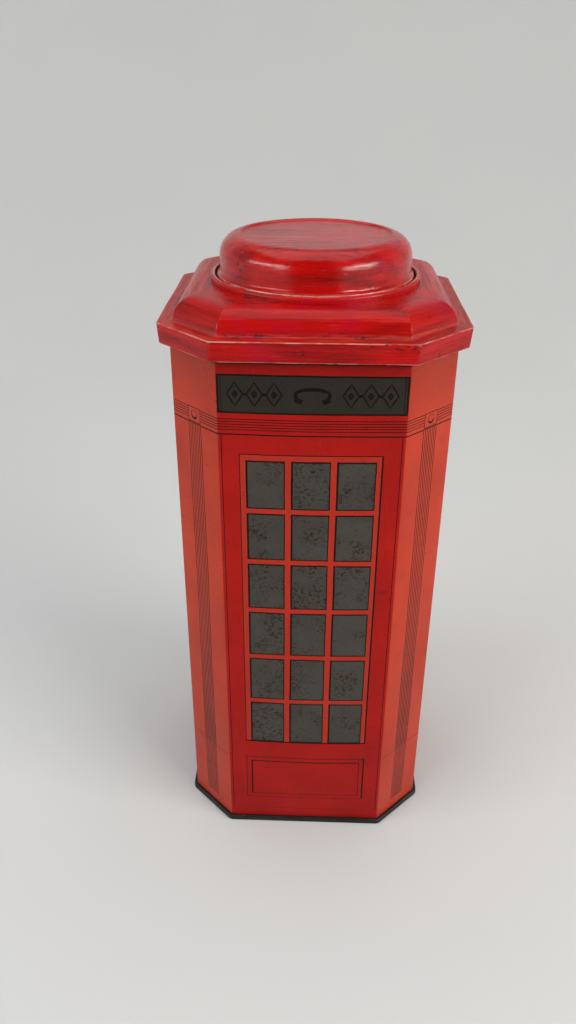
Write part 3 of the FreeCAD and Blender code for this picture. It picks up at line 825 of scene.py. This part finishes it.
def cut_marks(art, half):
    """The artwork of a corner cut: frieze, block, and a reeded pilaster under it."""
    reach = art.reed_pitch * (art.reed_count - 1) / 2
    width = art.line * 1.3
    block_low, block_high = art.transom + width, art.frieze + art.frieze_step * (art.frieze_count - 0.6)
    marks = [Mark("reeds", -reach - width, reach + width, art.skirting, art.transom - width)]
    marks.append(across(art.base_line, half, art.line, "faint"))
    for reed in range(art.reed_count):
        place = reed * art.reed_pitch - reach
        marks.append(upright(place, art.base_line + art.line, art.transom - width, width))
        marks.append(upright(place, art.skirting, art.base_line - art.line, width * 0.8, "faint"))
    marks += frieze_marks(art, half * 2)
    marks += framed("cuts", -reach, reach, block_low, block_high, [art.line] * 4)
    return marks


def breaks(edges, low, high, longest):
    """Sorted steps from low to high that include every edge, none longer than `longest`."""
    fixed = sorted({low, high, *(edge for edge in edges if low < edge < high)})
    steps = []
    for start, end in zip(fixed, fixed[1:]):
        steps += spread(start, end, max(1, math.ceil((end - start) / longest)))[:-1]
    return steps + [high]


class Print:
    """The artwork of the whole body, and the grid that its edges need."""

    LONGEST = 1.8 * MM
    SKIRT_SHADE_HEIGHT = 2.5 * MM

    def __init__(self, path):
        sizes, art, _ = settings()
        self.halves = [path.half_flat(face, 0, sizes.bend_radius) for face in (0, 1)]
        self.arc = sizes.bend_radius * FACE_TURN
        # Painted shade: a dark band just under the skirt's foot, where its shade falls on the body.
        reach, low = art.frame_half * 2, art.skirt_shade_line
        grime = Mark("grime", -reach, reach, low, low + self.SKIRT_SHADE_HEIGHT)
        self.marks = [flat_marks(art, self.halves[0]) + [grime], cut_marks(art, self.halves[1]) + [grime]]

    def columns(self, face, start=-1.0, end=1.0, bend_steps=6):
        """Columns of a face between two places along it, with the bend after it if the face ends there."""
        half = self.halves[face % 2]
        marks = self.marks[face % 2]
        edges = [edge for mark in marks for edge in (mark.left, mark.right)]
        made = [Column(face, at / half) for at in breaks(edges, start * half, end * half, self.LONGEST)]
        if end == 1.0:
            made += [Column(face, 1, turn) for turn in spread(0, 1, bend_steps)[1:-1]]
        return made

    def rows(self, low, high):
        """Heights of the wall's rows."""
        edges = [edge for marks in self.marks for mark in marks for edge in (mark.low, mark.high)]
        return breaks(edges, low, high, self.LONGEST)

    def ink_round_bend(self, face, turn, height):
        """Which ink covers a place on the bend after a face, which its two faces share."""
        if turn < 0.5:
            return self.ink(face, self.halves[face % 2] + turn * self.arc, height)
        after = (face + 1) % FACES
        return self.ink(after, -self.halves[after % 2] - (1 - turn) * self.arc, height)

    def ink(self, face, place, height):
        """Which ink covers a place on a face."""
        found = ("field", "cuts")[face % 2]
        for mark in self.marks[face % 2]:
            if mark.left < place < mark.right and mark.low < height < mark.high:
                found = mark.ink
        return found


# ---------------------------------------------------------------- body

class BodyShell:
    """The body's path, its swelling faces, and the artwork printed on it."""

    def __init__(self):
        self.sizes, self.art, _ = settings()
        self.path = Octagon()
        self.print = Print(self.path)
        low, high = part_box("body_front")
        self.foot, self.mouth = low.z, high.z

    def section(self):
        """The blank's section: flange, outside of the wall, curl over the mouth, inside of the wall."""
        sizes = self.sizes
        sheet, bend = sizes.sheet, sizes.bend_radius
        curl_middle = (sizes.curl_width - sheet) / 2
        curl_height = self.mouth - sheet - curl_middle
        spots = [
            Spot(-sheet, self.foot, bend - sheet, "tin"),
            Spot(sizes.flange, self.foot, bend + sizes.flange, "tin"),
            Spot(sizes.flange, self.foot + sheet, bend + sizes.flange, "tin"),
        ]
        rows = self.print.rows(self.foot + sheet, curl_height)
        spots += [Spot(0, row, bend, "print") for row in rows]
        spots += quarter(curl_middle, curl_height, curl_middle, 180, 0, bend, "tin", 8)[1:]
        leg = self.mouth - sizes.curl_height
        spots.append(Spot(sizes.curl_width - sheet, leg, bend + sizes.curl_width - sheet, "tin"))
        spots.append(Spot(sizes.curl_width, leg, bend + sizes.curl_width, "cuts"))
        spots += quarter(curl_middle, curl_height, curl_middle + sheet, 0, 180, bend, "cuts", 10)
        inside = spread(curl_height, self.foot, 24)[1:-1]
        return spots + [Spot(-sheet, row, bend - sheet, "tin") for row in inside]

    def swell(self, column, height):
        """How far a face stands out from true at a place on it."""
        sizes = self.sizes
        share = (height - self.foot) / (self.mouth - sizes.curl_height - self.foot)
        if column.turn or not 0 < share < 1:
            return 0.0
        most = (sizes.flat_bulge, sizes.cut_bulge)[column.face % 2]
        upright_share = 1 - (2 * share - 1) ** 6
        dent = noise.noise(Vector((column.face * 3.1 + column.along * 1.7, height / (22 * MM), 0.5)))
        return (1 - column.along ** 2) * upright_share * (most + dent * sizes.dents * 2)

    def placed(self, column, spot):
        """A spot at a column, with the artwork's hand-drawn wander and the face's swelling."""
        on_wall = spot.finish == "print"
        along, height = column.along, spot.height
        if on_wall and not column.turn and abs(along) < 1:
            half = self.print.halves[column.face % 2]
            own = Vector((column.face * 9.7 + along * 41, height / (5 * MM), 2.5))
            shared = Vector((along * half / (7 * MM), height / (11 * MM), column.face + 0.5))
            shift = noise.noise(own) * 0.35 + noise.noise(shared)
            along += shift * self.art.wander * (1 - along ** 2) / half
        moved = Column(column.face, along, column.turn)
        point = self.path.place(moved, spot)
        if on_wall and self.foot + MM < height < self.mouth - 2 * MM:
            point.z += noise.noise(Vector((point.x, point.y, height)) / (8 * MM)) * self.art.wander * 0.8
        normal = column.face * FACE_TURN - math.pi / 2
        outward = Vector((math.cos(normal), math.sin(normal), 0))
        return point + outward * self.swell(moved, height)

    def blank(self, name, columns):
        """One blank of the body."""
        section = self.section()

        def ink_at(at, side):
            start, end = columns[at], columns[at + 1]
            height = (section[side].height + section[side + 1].height) / 2
            if start.turn or end.face != start.face or end.turn:
                turn = (start.turn + (end.turn or 1.0)) / 2
                return self.print.ink_round_bend(start.face, turn, height)
            place = (start.along + end.along) / 2 * self.print.halves[start.face % 2]
            return self.print.ink(start.face, place, height)

        return make_piece(
            name, columns, section, self.placed, body_finishes(), closed=False, finish_at=ink_at
        )

    def seam(self, side):
        """How far along a side flat the lap seam lies, as a share of its half, less half the hairline."""
        half = self.print.halves[0]
        corner = self.path.half_flat(0, 0, 0)
        return (corner - self.sizes.seam_setback + side * self.sizes.seam_gap / 2) / half


class KIOSK_OT_body_front(Operator):
    """Front blank: front, both front corner cuts and most of each side"""

    bl_idname = "kiosk.body_front"
    bl_label = "Body, front blank"

    def execute(self, context):
        shell = BodyShell()
        seam = shell.seam(-1)
        columns = shell.print.columns(6, -seam, 1.0)
        for face in (7, 0, 1):
            columns += shell.print.columns(face)
        columns += shell.print.columns(2, -1.0, seam)
        stand_for(shell.blank("body_front_sheet", columns), "tin_body", "printed_body", "body_front")
        return {"FINISHED"}


class KIOSK_OT_body_rear(Operator):
    """Rear blank: back, both rear corner cuts, and the laps behind the front blank"""

    bl_idname = "kiosk.body_rear"
    bl_label = "Body, rear blank"

    def execute(self, context):
        shell = BodyShell()
        seam = shell.seam(1)
        columns = shell.print.columns(2, seam, 1.0)
        for face in (3, 4, 5):
            columns += shell.print.columns(face)
        columns += shell.print.columns(6, -1.0, -seam)
        blank = shell.blank("body_rear_sheet", columns)
        stand_for(blank, "tin_body", "printed_body", "body_rear")
        lap = shell.sizes.lap_width / shell.print.halves[0]
        for name, face, start, end in (
            ("right_lap", 2, seam - lap, seam + lap / 3), ("left_lap", 6, -seam - lap / 3, lap - seam)
        ):
            self.make_lap(shell, name, face, start, end)
        return {"FINISHED"}

    def make_lap(self, shell, name, face, start, end):
        """The strip of the rear blank that reaches in behind the front blank."""
        sheet, bend = shell.sizes.sheet, shell.sizes.bend_radius
        columns = [Column(face, along) for along in spread(start, end, 4)]
        rows = spread(shell.foot + 3 * MM, shell.mouth - 1.5 * MM, 40)
        section = [Spot(-sheet, row, bend - sheet, "tin") for row in rows]
        section += [Spot(-2 * sheet, row, bend - 2 * sheet, "tin") for row in reversed(rows)]
        finishes = {"tin": body_finishes()["tin"]}
        piece = make_piece(name, columns, section, shell.placed, finishes, closed=False)
        stand_for(piece, "tin_body", "printed_body")


class KIOSK_OT_ornaments(Operator):
    """Ornaments printed in line ink: a handset and lozenges on each sign, a rosette on each corner"""

    bl_idname = "kiosk.ornaments"
    bl_label = "Printed ornaments"

    THICK = 0.02 * MM

    def execute(self, context):
        shell = BodyShell()
        art = shell.art
        middle = (art.sign_low + art.sign_high) / 2
        flats = bmesh.new()
        for face in range(0, FACES, 2):
            for points, widths in self.sign_strokes(middle):
                self.stroke(flats, shell, face, points, widths)
        signs = finish_mesh("sign_ornaments", flats, [body_finishes()["sign_ink"]])
        stand_for(signs, "tin_body", "printed_body")
        corners = bmesh.new()
        middle = art.frieze + art.frieze_step * 1.6
        for face in range(1, FACES, 2):
            for points, widths in self.rosette_strokes(middle):
                self.stroke(corners, shell, face, points, widths)
        rosettes = finish_mesh("corner_rosettes", corners, [body_finishes()["ink"]])
        stand_for(rosettes, "tin_body", "printed_body")
        return {"FINISHED"}

    def sign_strokes(self, middle):
        """Strokes of one sign: a handset in the middle, lozenges and pellets to each side."""
        strokes = []
        arch = [(4.3 * MM * math.sin(a), middle + 1.5 * MM * math.cos(a)) for a in spread(-1.3, 1.3, 14)]
        strokes.append((arch, [(0.95 - 0.25 * abs(math.sin(a))) * MM for a in spread(-1.3, 1.3, 14)]))
        for side in (-1, 1):
            cup = [
                (side * (3.3 + 0.55 * t) * MM, middle - (1.35 - 0.2 * t) * MM) for t in spread(-1.6, 1.6, 6)
            ]
            strokes.append((cup, [1.25 * MM] * len(cup)))
            neck = [(side * 4.05 * MM, middle + 0.4 * MM), (side * 3.75 * MM, middle - 1.1 * MM)]
            strokes.append((neck, [0.9 * MM] * 2))
            for step in range(3):
                centre = side * (9.0 + 4.6 * step) * MM
                strokes.append(self.lozenge(centre, middle, 1.9 * MM, 2.9 * MM, 0.38 * MM))
                strokes.append(self.lozenge(centre, middle, 0.45 * MM, 0.7 * MM, 0.5 * MM))
                if step:
                    dot = centre - side * 2.3 * MM
                    strokes.append(self.lozenge(dot, middle, 0.16 * MM, 0.16 * MM, 0.5 * MM))
        return strokes

    def lozenge(self, centre, middle, half, tall, width):
        """A closed stroke round a lozenge."""
        corners = [(half, 0), (0, tall), (-half, 0), (0, -tall)]
        points = []
        for (x0, y0), (x1, y1) in zip(corners, corners[1:] + corners[:1]):
            for step in spread(0, 1, 3)[:-1]:
                points.append((centre + x0 + (x1 - x0) * step, middle + y0 + (y1 - y0) * step))
        return points + points[:2], [width] * (len(points) + 2)

    def rosette_strokes(self, middle):
        """A ring with a heavy crescent in its lower half."""
        radius = 1.15 * MM
        ring = [(radius * math.cos(a), middle + radius * math.sin(a)) for a in spread(0, math.tau, 24)]
        lower = spread(math.pi * 1.05, math.pi * 1.95, 12)
        crescent = [(0.8 * radius * math.cos(a), middle + 0.8 * radius * math.sin(a)) for a in lower]
        widths = [(0.08 + 0.5 * math.sin(math.pi * step)) * MM for step in spread(0, 1, 12)]
        return [(ring, [0.14 * MM] * len(ring)), (crescent, widths)]

    def stroke(self, builder, shell, face, points, widths):
        """A thin closed ribbon of ink that lies on a face."""
        half = shell.print.halves[face % 2]
        bend = shell.sizes.bend_radius
        rings = []
        for at, (point, width) in enumerate(zip(points, widths)):
            before, after = points[max(at - 1, 0)], points[min(at + 1, len(points) - 1)]
            ahead = Vector((after[0] - before[0], after[1] - before[1])).normalized()
            aside = Vector((-ahead.y, ahead.x)) * width / 2
            ring = []
            for hand, lift in ((-1, -1), (1, -1), (1, 1), (-1, 1)):
                place = Vector(point) + aside * hand
                spot = Spot(lift * self.THICK, place.y, bend, "ink")
                ring.append(builder.verts.new(shell.placed(Column(face, place.x / half), spot)))
            rings.append(ring)
        join_rings(builder, rings)
        builder.faces.new(rings[0][::-1])
        builder.faces.new(rings[-1])


class KIOSK_OT_foot(Operator):
    """Finishes of the base pan and of the wire in the mouth, which keep their CAD shapes"""

    bl_idname = "kiosk.foot"
    bl_label = "Base pan and mouth wire"

    def execute(self, context):
        _, _, colours = settings()
        finishes = {
            "base_pan": rim_varnish("Rim varnish", list(colours.varnish), list(colours.brass)),
            "mouth_wire": drawn_wire("Drawn wire", list(colours.tin)),
        }
        for node, material in finishes.items():
            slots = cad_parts[node].data.materials
            slots.clear()
            slots.append(material)
        return {"FINISHED"}


# ---------------------------------------------------------------- roof lid

class LidShell:
    """Measures of the roof lid that its pieces share."""

    def __init__(self):
        self.sizes, _, _ = settings()
        self.path = Octagon()
        self.finishes = lid_finishes()
        self.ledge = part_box("body_front")[1].z
        self.fold_out = furthest("lid_panel", 0) - self.path.distances[0]
        self.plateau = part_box("neck_ring")[0].z
        self.fold_rounding = 0.75 * self.sizes.sheet

    def placed(self, column, spot):
        """A spot at a column, shaken by the same dents on every piece of the lid."""
        return shake(self.path.place(column, spot), self.sizes.dents, 14 * MM)


class KIOSK_OT_skirt(Operator):
    """Skirt of the lid: a strip with a flange at its top and a hem at its foot"""

    bl_idname = "kiosk.skirt"
    bl_label = "Lid, skirt"

    def execute(self, context):
        lid = LidShell()
        sizes = lid.sizes
        sheet, corner = sizes.sheet, sizes.lid_corner
        out, foot, top = sizes.overhang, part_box("lid_band")[0].z, lid.ledge
        flange = lid.fold_out - sheet
        # Painted shade: the lower half of the hem's roll is dark where it is shaded; painted highlight: a
        # pale edge just above it.
        spots = quarter(out - sheet, foot + sheet, sheet, -180, -50, corner, "grime", 6, 0)
        spots += quarter(out - sheet, foot + sheet, sheet, -30, -15, corner, "edge", 1, 0)
        spots.append(Spot(out, foot + sheet, corner, "enamel"))
        for share in spread(0, 1, 6)[1:]:
            row = foot + sheet + (top - 2 * sheet - foot) * share
            spots.append(Spot(out + (flange - out + lid.fold_rounding) * share, row, corner, "enamel"))
        spots += [
            Spot(flange, top - sheet, corner, "tin"),
            Spot(flange, top, corner, "tin"),
            Spot(out - sheet, top, corner, "tin"),
            Spot(out - sheet, foot + sizes.hem_height, corner, "tin"),
            Spot(out - 2 * sheet, foot + sizes.hem_height, corner, "tin"),
        ]
        piece = make_piece("lid_skirt", round_columns(24, 10, 7), spots, lid.placed, lid.finishes)
        stand_for(piece, "roof_lid", "painted_roof", "lid_band")
        return {"FINISHED"}


class KIOSK_OT_roof(Operator):
    """Roof: folded edge with snipped corners, ledge, eight-sided dome, hole with an upstand"""

    bl_idname = "kiosk.roof"
    bl_label = "Lid, roof panel"

    def execute(self, context):
        lid = LidShell()
        spots = self.fold(lid) + self.dome(lid) + self.inside(lid)
        piece = make_piece("lid_roof", round_columns(24, 12, 7), spots, lid.placed, lid.finishes)
        self.snip(piece, lid)
        stand_for(piece, "roof_lid", "painted_roof", "lid_panel")
        return {"FINISHED"}

    def fold(self, lid):
        """Outside of the folded edge, from the tip under the skirt's flange to the ledge."""
        sizes = lid.sizes
        sheet, corner, out = sizes.sheet, sizes.lid_corner, lid.fold_out
        under = lid.ledge - 2 * sheet
        radius = lid.fold_rounding
        tip = Spot(sizes.overhang, under, corner, "enamel")
        lower = quarter(out - radius, under + radius, radius, -90, 0, corner, "enamel", 4, 0)
        # Painted highlight: the rounded top of the fold takes the pale edge finish.
        upper = quarter(out - radius, lid.ledge + sheet - radius, radius, 0, 90, corner, "edge", 4, 0)
        return [tip] + lower + upper[:-1] + [upper[-1]._replace(finish="worn")]

    def dome(self, lid):
        """Top of the ledge, the dome's facets, and the plateau out to the upstand."""
        sizes = lid.sizes
        ledge = lid.ledge + sizes.sheet
        foot = lid.fold_out - sizes.ledge_width
        shoulder = foot - sizes.dome_rounding
        shoulder_height = lid.plateau - sizes.dome_rounding
        fillet, ridge = sizes.foot_fillet, sizes.ridge_rounding
        spots = []
        for share in (0.75, 0.5, 0.3):
            corner = ridge + share * (sizes.lid_corner - ridge)
            spots.append(Spot(foot + (lid.fold_out - foot) * share, ledge, corner, "worn"))
        spots += quarter(foot + fillet, ledge + fillet, fillet, 270, 200, ridge, "worn", 4, 0)
        spots += quarter(shoulder, shoulder_height, sizes.dome_rounding, 8, 90, ridge, "enamel", 14, 0)
        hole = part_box("neck_ring")[1].x - sizes.bead_width / 2 + sizes.sheet / 2
        return spots + [
            Spot(hole, lid.plateau, None, "enamel"),
            Spot(hole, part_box("lid_panel")[1].z, None, "tin"),
            Spot(hole - sizes.sheet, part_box("lid_panel")[1].z, None, "tin"),
        ]

    def inside(self, lid):
        """Underside of the roof, from the hole back to the tip of the fold."""
        sizes = lid.sizes
        sheet, ridge, corner = sizes.sheet, sizes.ridge_rounding, sizes.lid_corner
        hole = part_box("neck_ring")[1].x - sizes.bead_width / 2 - sheet / 2
        foot = lid.fold_out - sizes.ledge_width - sheet
        radius = sizes.dome_rounding - sheet
        spots = [Spot(hole, lid.plateau - sheet, None, "tin")]
        spots += quarter(foot - radius, lid.plateau - sheet - radius, radius, 90, 0, ridge, "tin", 8, 0)
        inner = lid.fold_out - sheet
        return spots + [
            Spot(foot, lid.ledge, ridge, "tin"),
            Spot(inner, lid.ledge, corner, "tin"),
            Spot(inner, lid.ledge - sheet, corner, "tin"),
            Spot(sizes.overhang, lid.ledge - sheet, corner, "tin"),
        ]

    def snip(self, piece, lid):
        """Open the fold at the eight corners."""
        sizes = lid.sizes
        cutter = bmesh.new()
        low, high = lid.ledge - 3 * sizes.sheet, lid.ledge - 0.02 * MM
        for face in range(FACES):
            corner = lid.path.point(Column(face, 1), lid.fold_out, 0)
            rings = [circle(cutter, corner, sizes.notch_radius, height, 24) for height in (low, high)]
            cutter.faces.new(rings[0][::-1])
            cutter.faces.new(rings[1])
            join_rings(cutter, rings)
        for face in cutter.faces:
            face.material_index = sorted(lid.finishes).index("tin")
        tool = finish_mesh("snips", cutter, [lid.finishes[key] for key in sorted(lid.finishes)])
        modifier = piece.modifiers.new("snips", "BOOLEAN")
        modifier.object = tool
        modifier.operation = "DIFFERENCE"
        with bpy.context.temp_override(object=piece, active_object=piece):
            bpy.ops.object.modifier_apply(modifier=modifier.name)
        bpy.data.objects.remove(tool)


class KIOSK_OT_neck(Operator):
    """Neck ring: the round bead on the roof, and the neck that the cap slips over"""

    bl_idname = "kiosk.neck"
    bl_label = "Lid, neck ring"

    def execute(self, context):
        lid = LidShell()
        sizes = lid.sizes
        sheet, half = sizes.sheet, sizes.bead_width / 2
        low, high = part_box("neck_ring")
        middle, height = high.x - half, low.z + sizes.bead_height - half
        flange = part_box("drum_cap")[0].z - sizes.seat_gap
        inside = sizes.neck_radius - sheet
        spots = [Spot(middle + half, low.z, None, "enamel")]
        spots += quarter(middle, height, half, 0, 60, None, "enamel", 4)
        # Painted highlight on the bead's crest; painted shade on its inner side and down to the flange, in
        # the gap under the cap's rim.
        spots += quarter(middle, height, half, 75, 105, None, "edge", 3)
        spots += quarter(middle, height, half, 120, 180, None, "grime", 5)
        spots += [
            Spot(middle - half, flange, None, "grime"),
            Spot(sizes.neck_radius, flange, None, "tin"),
            Spot(sizes.neck_radius, high.z, None, "tin"),
            Spot(inside, high.z, None, "tin"),
            Spot(inside, flange - sheet, None, "tin"),
            Spot(middle - half + sheet, flange - sheet, None, "tin"),
        ]
        spots += quarter(middle, height, half - sheet, 180, 0, None, "tin", 10)
        spots.append(Spot(middle + half - sheet, low.z, None, "tin"))
        piece = make_piece("neck_bead", round_columns(24, 12, 2), spots, lid.placed, lid.finishes)
        stand_for(piece, "roof_lid", "painted_roof", "neck_ring")
        return {"FINISHED"}


class KIOSK_OT_cap(Operator):
    """Round slip cap: rolled rim, upright wall, rounded shoulder and a flat top set slightly down"""

    bl_idname = "kiosk.cap"
    bl_label = "Round cap"

    FLARE_HEIGHT = 4
    FLARE_POWER = 2.2
    HUB = 0.6 * MM

    def execute(self, context):
        sizes, _, _ = settings()
        path = Octagon()
        low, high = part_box("drum_cap")
        sheet, curl, crown = sizes.sheet, sizes.cap_curl, sizes.crown_radius
        curl_out = high.x - curl
        inside = curl_out - curl
        wall = inside + sheet
        crown_out, crown_height = wall - crown, high.z - crown
        flat, top = crown_out - sizes.crown_step, high.z - sizes.crown_recess
        spots = [Spot(out, top, None, "cap") for out in (self.HUB, flat * 0.35, flat * 0.7, flat)]
        spots += quarter(crown_out, crown_height, crown, 90, 0, None, "cap", 14)
        flare = low.z + self.FLARE_HEIGHT * curl
        spots += [Spot(wall, row, None, "cap") for row in spread(crown_height, flare, 4)[1:]]
        # Painted highlight, with rubbing, on the rim's outer round; painted shade on its underside over the
        # gap to the bead.
        rim = quarter(curl_out, low.z + curl, curl, 40, -35, None, "edge", 6)
        rim += quarter(curl_out, low.z + curl, curl, -45, -180, None, "grime", 10)
        for step in spread(0, 1, 6)[1:-1]:
            out = wall + (rim[0].out - wall) * step ** self.FLARE_POWER
            spots.append(Spot(out, flare + (rim[0].height - flare) * step, None, "cap"))
        spots += rim
        spots += [Spot(inside, row, None, "tin") for row in spread(low.z + curl, crown_height, 4)[1:-1]]
        spots += quarter(crown_out, crown_height, crown - sheet, 0, 90, None, "tin", 10)
        spots += [Spot(out, top - sheet, None, "tin") for out in (flat, flat * 0.5, self.HUB)]

        def placed(column, spot):
            return shake(path.place(column, spot), sizes.dents * 0.7, 11 * MM, 5.0)

        columns = round_columns(24, 12, 2)
        piece = make_piece("round_cap_shell", columns, spots, placed, lid_finishes(), fill=True)
        stand_for(piece, "round_cap", "painted_roof", "drum_cap")
        return {"FINISHED"}


# ---------------------------------------------------------------- stage

class KIOSK_OT_stage(Operator):
    """Pale sweep, soft studio lights and the camera"""

    bl_idname = "kiosk.stage"
    bl_label = "Stage"

    FLOOR = 0.4
    CURVE = 0.9
    WALL = 1.6
    SWEEP_STEPS = 96
    LIGHTS = {
        "left_light": ((-0.79, -0.50, 0.53), (0.85, 0.13), (0.90, 0.97, 1.0)),
        "right_light": ((0.79, -0.50, 0.56), (0.72, 0.13), (1.0, 0.95, 0.90)),
        "overhead": ((0.0, 0.1, 1.35), (1.6, 1.4), (1.0, 0.99, 0.965)),
    }
    CARD_HALF = 0.16
    CARD_AHEAD = -0.30
    CARD_LOW = 0.02
    CARD_HIGH = 0.9

    def execute(self, context):
        stage = context.scene.tin_stage
        self.sweep()
        for name, (place, size, tint) in self.LIGHTS.items():
            self.softbox(name, place, size, getattr(stage, name), tint)
        self.flag()
        world = bpy.data.worlds.new("Room")
        world.use_nodes = True
        light = world.node_tree.nodes["Background"].inputs
        light["Color"].default_value = (0.97, 0.99, 1.0, 1.0)
        light["Strength"].default_value = stage.room
        context.scene.world = world
        context.scene.view_settings.view_transform = "Standard"
        lens = bpy.data.cameras.new("camera")
        lens.lens = stage.lens
        lens.sensor_width = 36.0
        lens.clip_start = 0.01
        camera = bpy.data.objects.new("camera", lens)
        camera.location = stage.eye
        turned = Matrix.Rotation(stage.turn, 3, "Z") @ Matrix.Rotation(math.pi / 2 - stage.tilt, 3, "X")
        camera.rotation_euler = (turned @ Matrix.Rotation(stage.roll, 3, "Z")).to_euler()
        context.scene.collection.objects.link(camera)
        context.scene.camera = camera
        return {"FINISHED"}

    def sweep(self):
        """A round floor that curves up into a wall, so that there is a plain ground from every side."""
        outline = [(self.FLOOR * 0.5, 0.0)]
        for angle in spread(0, math.pi / 2, 16):
            outline.append((self.FLOOR + self.CURVE * math.sin(angle), self.CURVE * (1 - math.cos(angle))))
        outline.append((self.FLOOR + self.CURVE, self.WALL))
        builder = bmesh.new()
        rings = [circle(builder, Vector(), radius, height, self.SWEEP_STEPS) for radius, height in outline]
        builder.faces.new(rings[0])
        for face in join_rings(builder, rings[::-1]):
            face.smooth = True
        recipe = Recipe("Pale sweep", 0.7, specular=0.2)
        soft = recipe.window(recipe.cloud(0.25, 3), 0.3, 0.7, 0, 0.5)
        shade = recipe.blend(soft, (0.56, 0.56, 0.555), (0.53, 0.54, 0.545))
        marks = recipe.window(recipe.cloud(2.5 * MM, 3, 4), 0.70, 0.78, 0, 0.10)
        recipe.paint(recipe.blend(marks, shade, (0.4, 0.4, 0.42)))
        finish_mesh("sweep", builder, [recipe.material])

    def flag(self):
        """A black card in front of the tin, which shows only in gloss and keeps the upright sides deep."""
        builder = bmesh.new()
        half, low, high = self.CARD_HALF, self.CARD_LOW, self.CARD_HIGH
        outline = [(-half, low), (half, low), (half, high), (-half, high)]
        corners = [(side, self.CARD_AHEAD, height) for side, height in outline]
        builder.faces.new([builder.verts.new(corner) for corner in corners])
        recipe = Recipe("Black card", 1.0, specular=0.0)
        recipe.paint((0.002, 0.002, 0.002))
        card = finish_mesh("flag", builder, [recipe.material])
        for use in ("camera", "diffuse", "shadow", "transmission"):
            setattr(card, "visible_" + use, False)

    def softbox(self, name, place, size, power, tint):
        """A level area light aimed at the middle of the tin."""
        lamp = bpy.data.lights.new(name, "AREA")
        lamp.shape = "RECTANGLE"
        lamp.size, lamp.size_y = size
        lamp.energy = power
        lamp.color = tint
        light = bpy.data.objects.new(name, lamp)
        light.location = place
        middle = (cad_box[0] + cad_box[1]) / 2
        light.rotation_euler = (middle - light.location).to_track_quat("-Z", "Y").to_euler()
        bpy.context.scene.collection.objects.link(light)


# ---------------------------------------------------------------- add-on

OPERATORS = (
    KIOSK_OT_body_front,
    KIOSK_OT_body_rear,
    KIOSK_OT_ornaments,
    KIOSK_OT_foot,
    KIOSK_OT_skirt,
    KIOSK_OT_roof,
    KIOSK_OT_neck,
    KIOSK_OT_cap,
    KIOSK_OT_stage,
)


class KIOSK_PT_tin(Panel):
    """Sidebar panel with the tin's sizes, colours and pieces"""

    bl_label = "Kiosk tin"
    bl_space_type = "VIEW_3D"
    bl_region_type = "UI"
    bl_category = "Kiosk tin"

    def draw(self, context):
        layout = self.layout
        for group in GROUPS:
            settings_of = getattr(context.scene, group)
            column = layout.column(align=True)
            for key in settings_of.__annotations__:
                column.prop(settings_of, key)
        for operator in OPERATORS:
            layout.operator(operator.bl_idname)


GROUPS = {
    "tin_sizes": TinSizes,
    "tin_artwork": ArtworkSizes,
    "tin_colours": TinColours,
    "tin_stage": StageSettings,
}


def register():
    """Add the settings, operators and panel, and seed the noise, which otherwise starts from the clock."""
    noise.seed_set(NOISE_SEED)
    for group in (*GROUPS.values(), *OPERATORS, KIOSK_PT_tin):
        bpy.utils.register_class(group)
    for name, group in GROUPS.items():
        setattr(bpy.types.Scene, name, PointerProperty(type=group))


def unregister():
    """Take away what register() added."""
    for name in GROUPS:
        delattr(bpy.types.Scene, name)
    for group in (KIOSK_PT_tin, *reversed(OPERATORS), *reversed(list(GROUPS.values()))):
        bpy.utils.unregister_class(group)


def main():
    """Build every piece and the stage."""
    register()
    for operator in OPERATORS:
        family, name = operator.bl_idname.split(".")
        getattr(getattr(bpy.ops, family), name)()


if __name__ == "__main__":
    main()
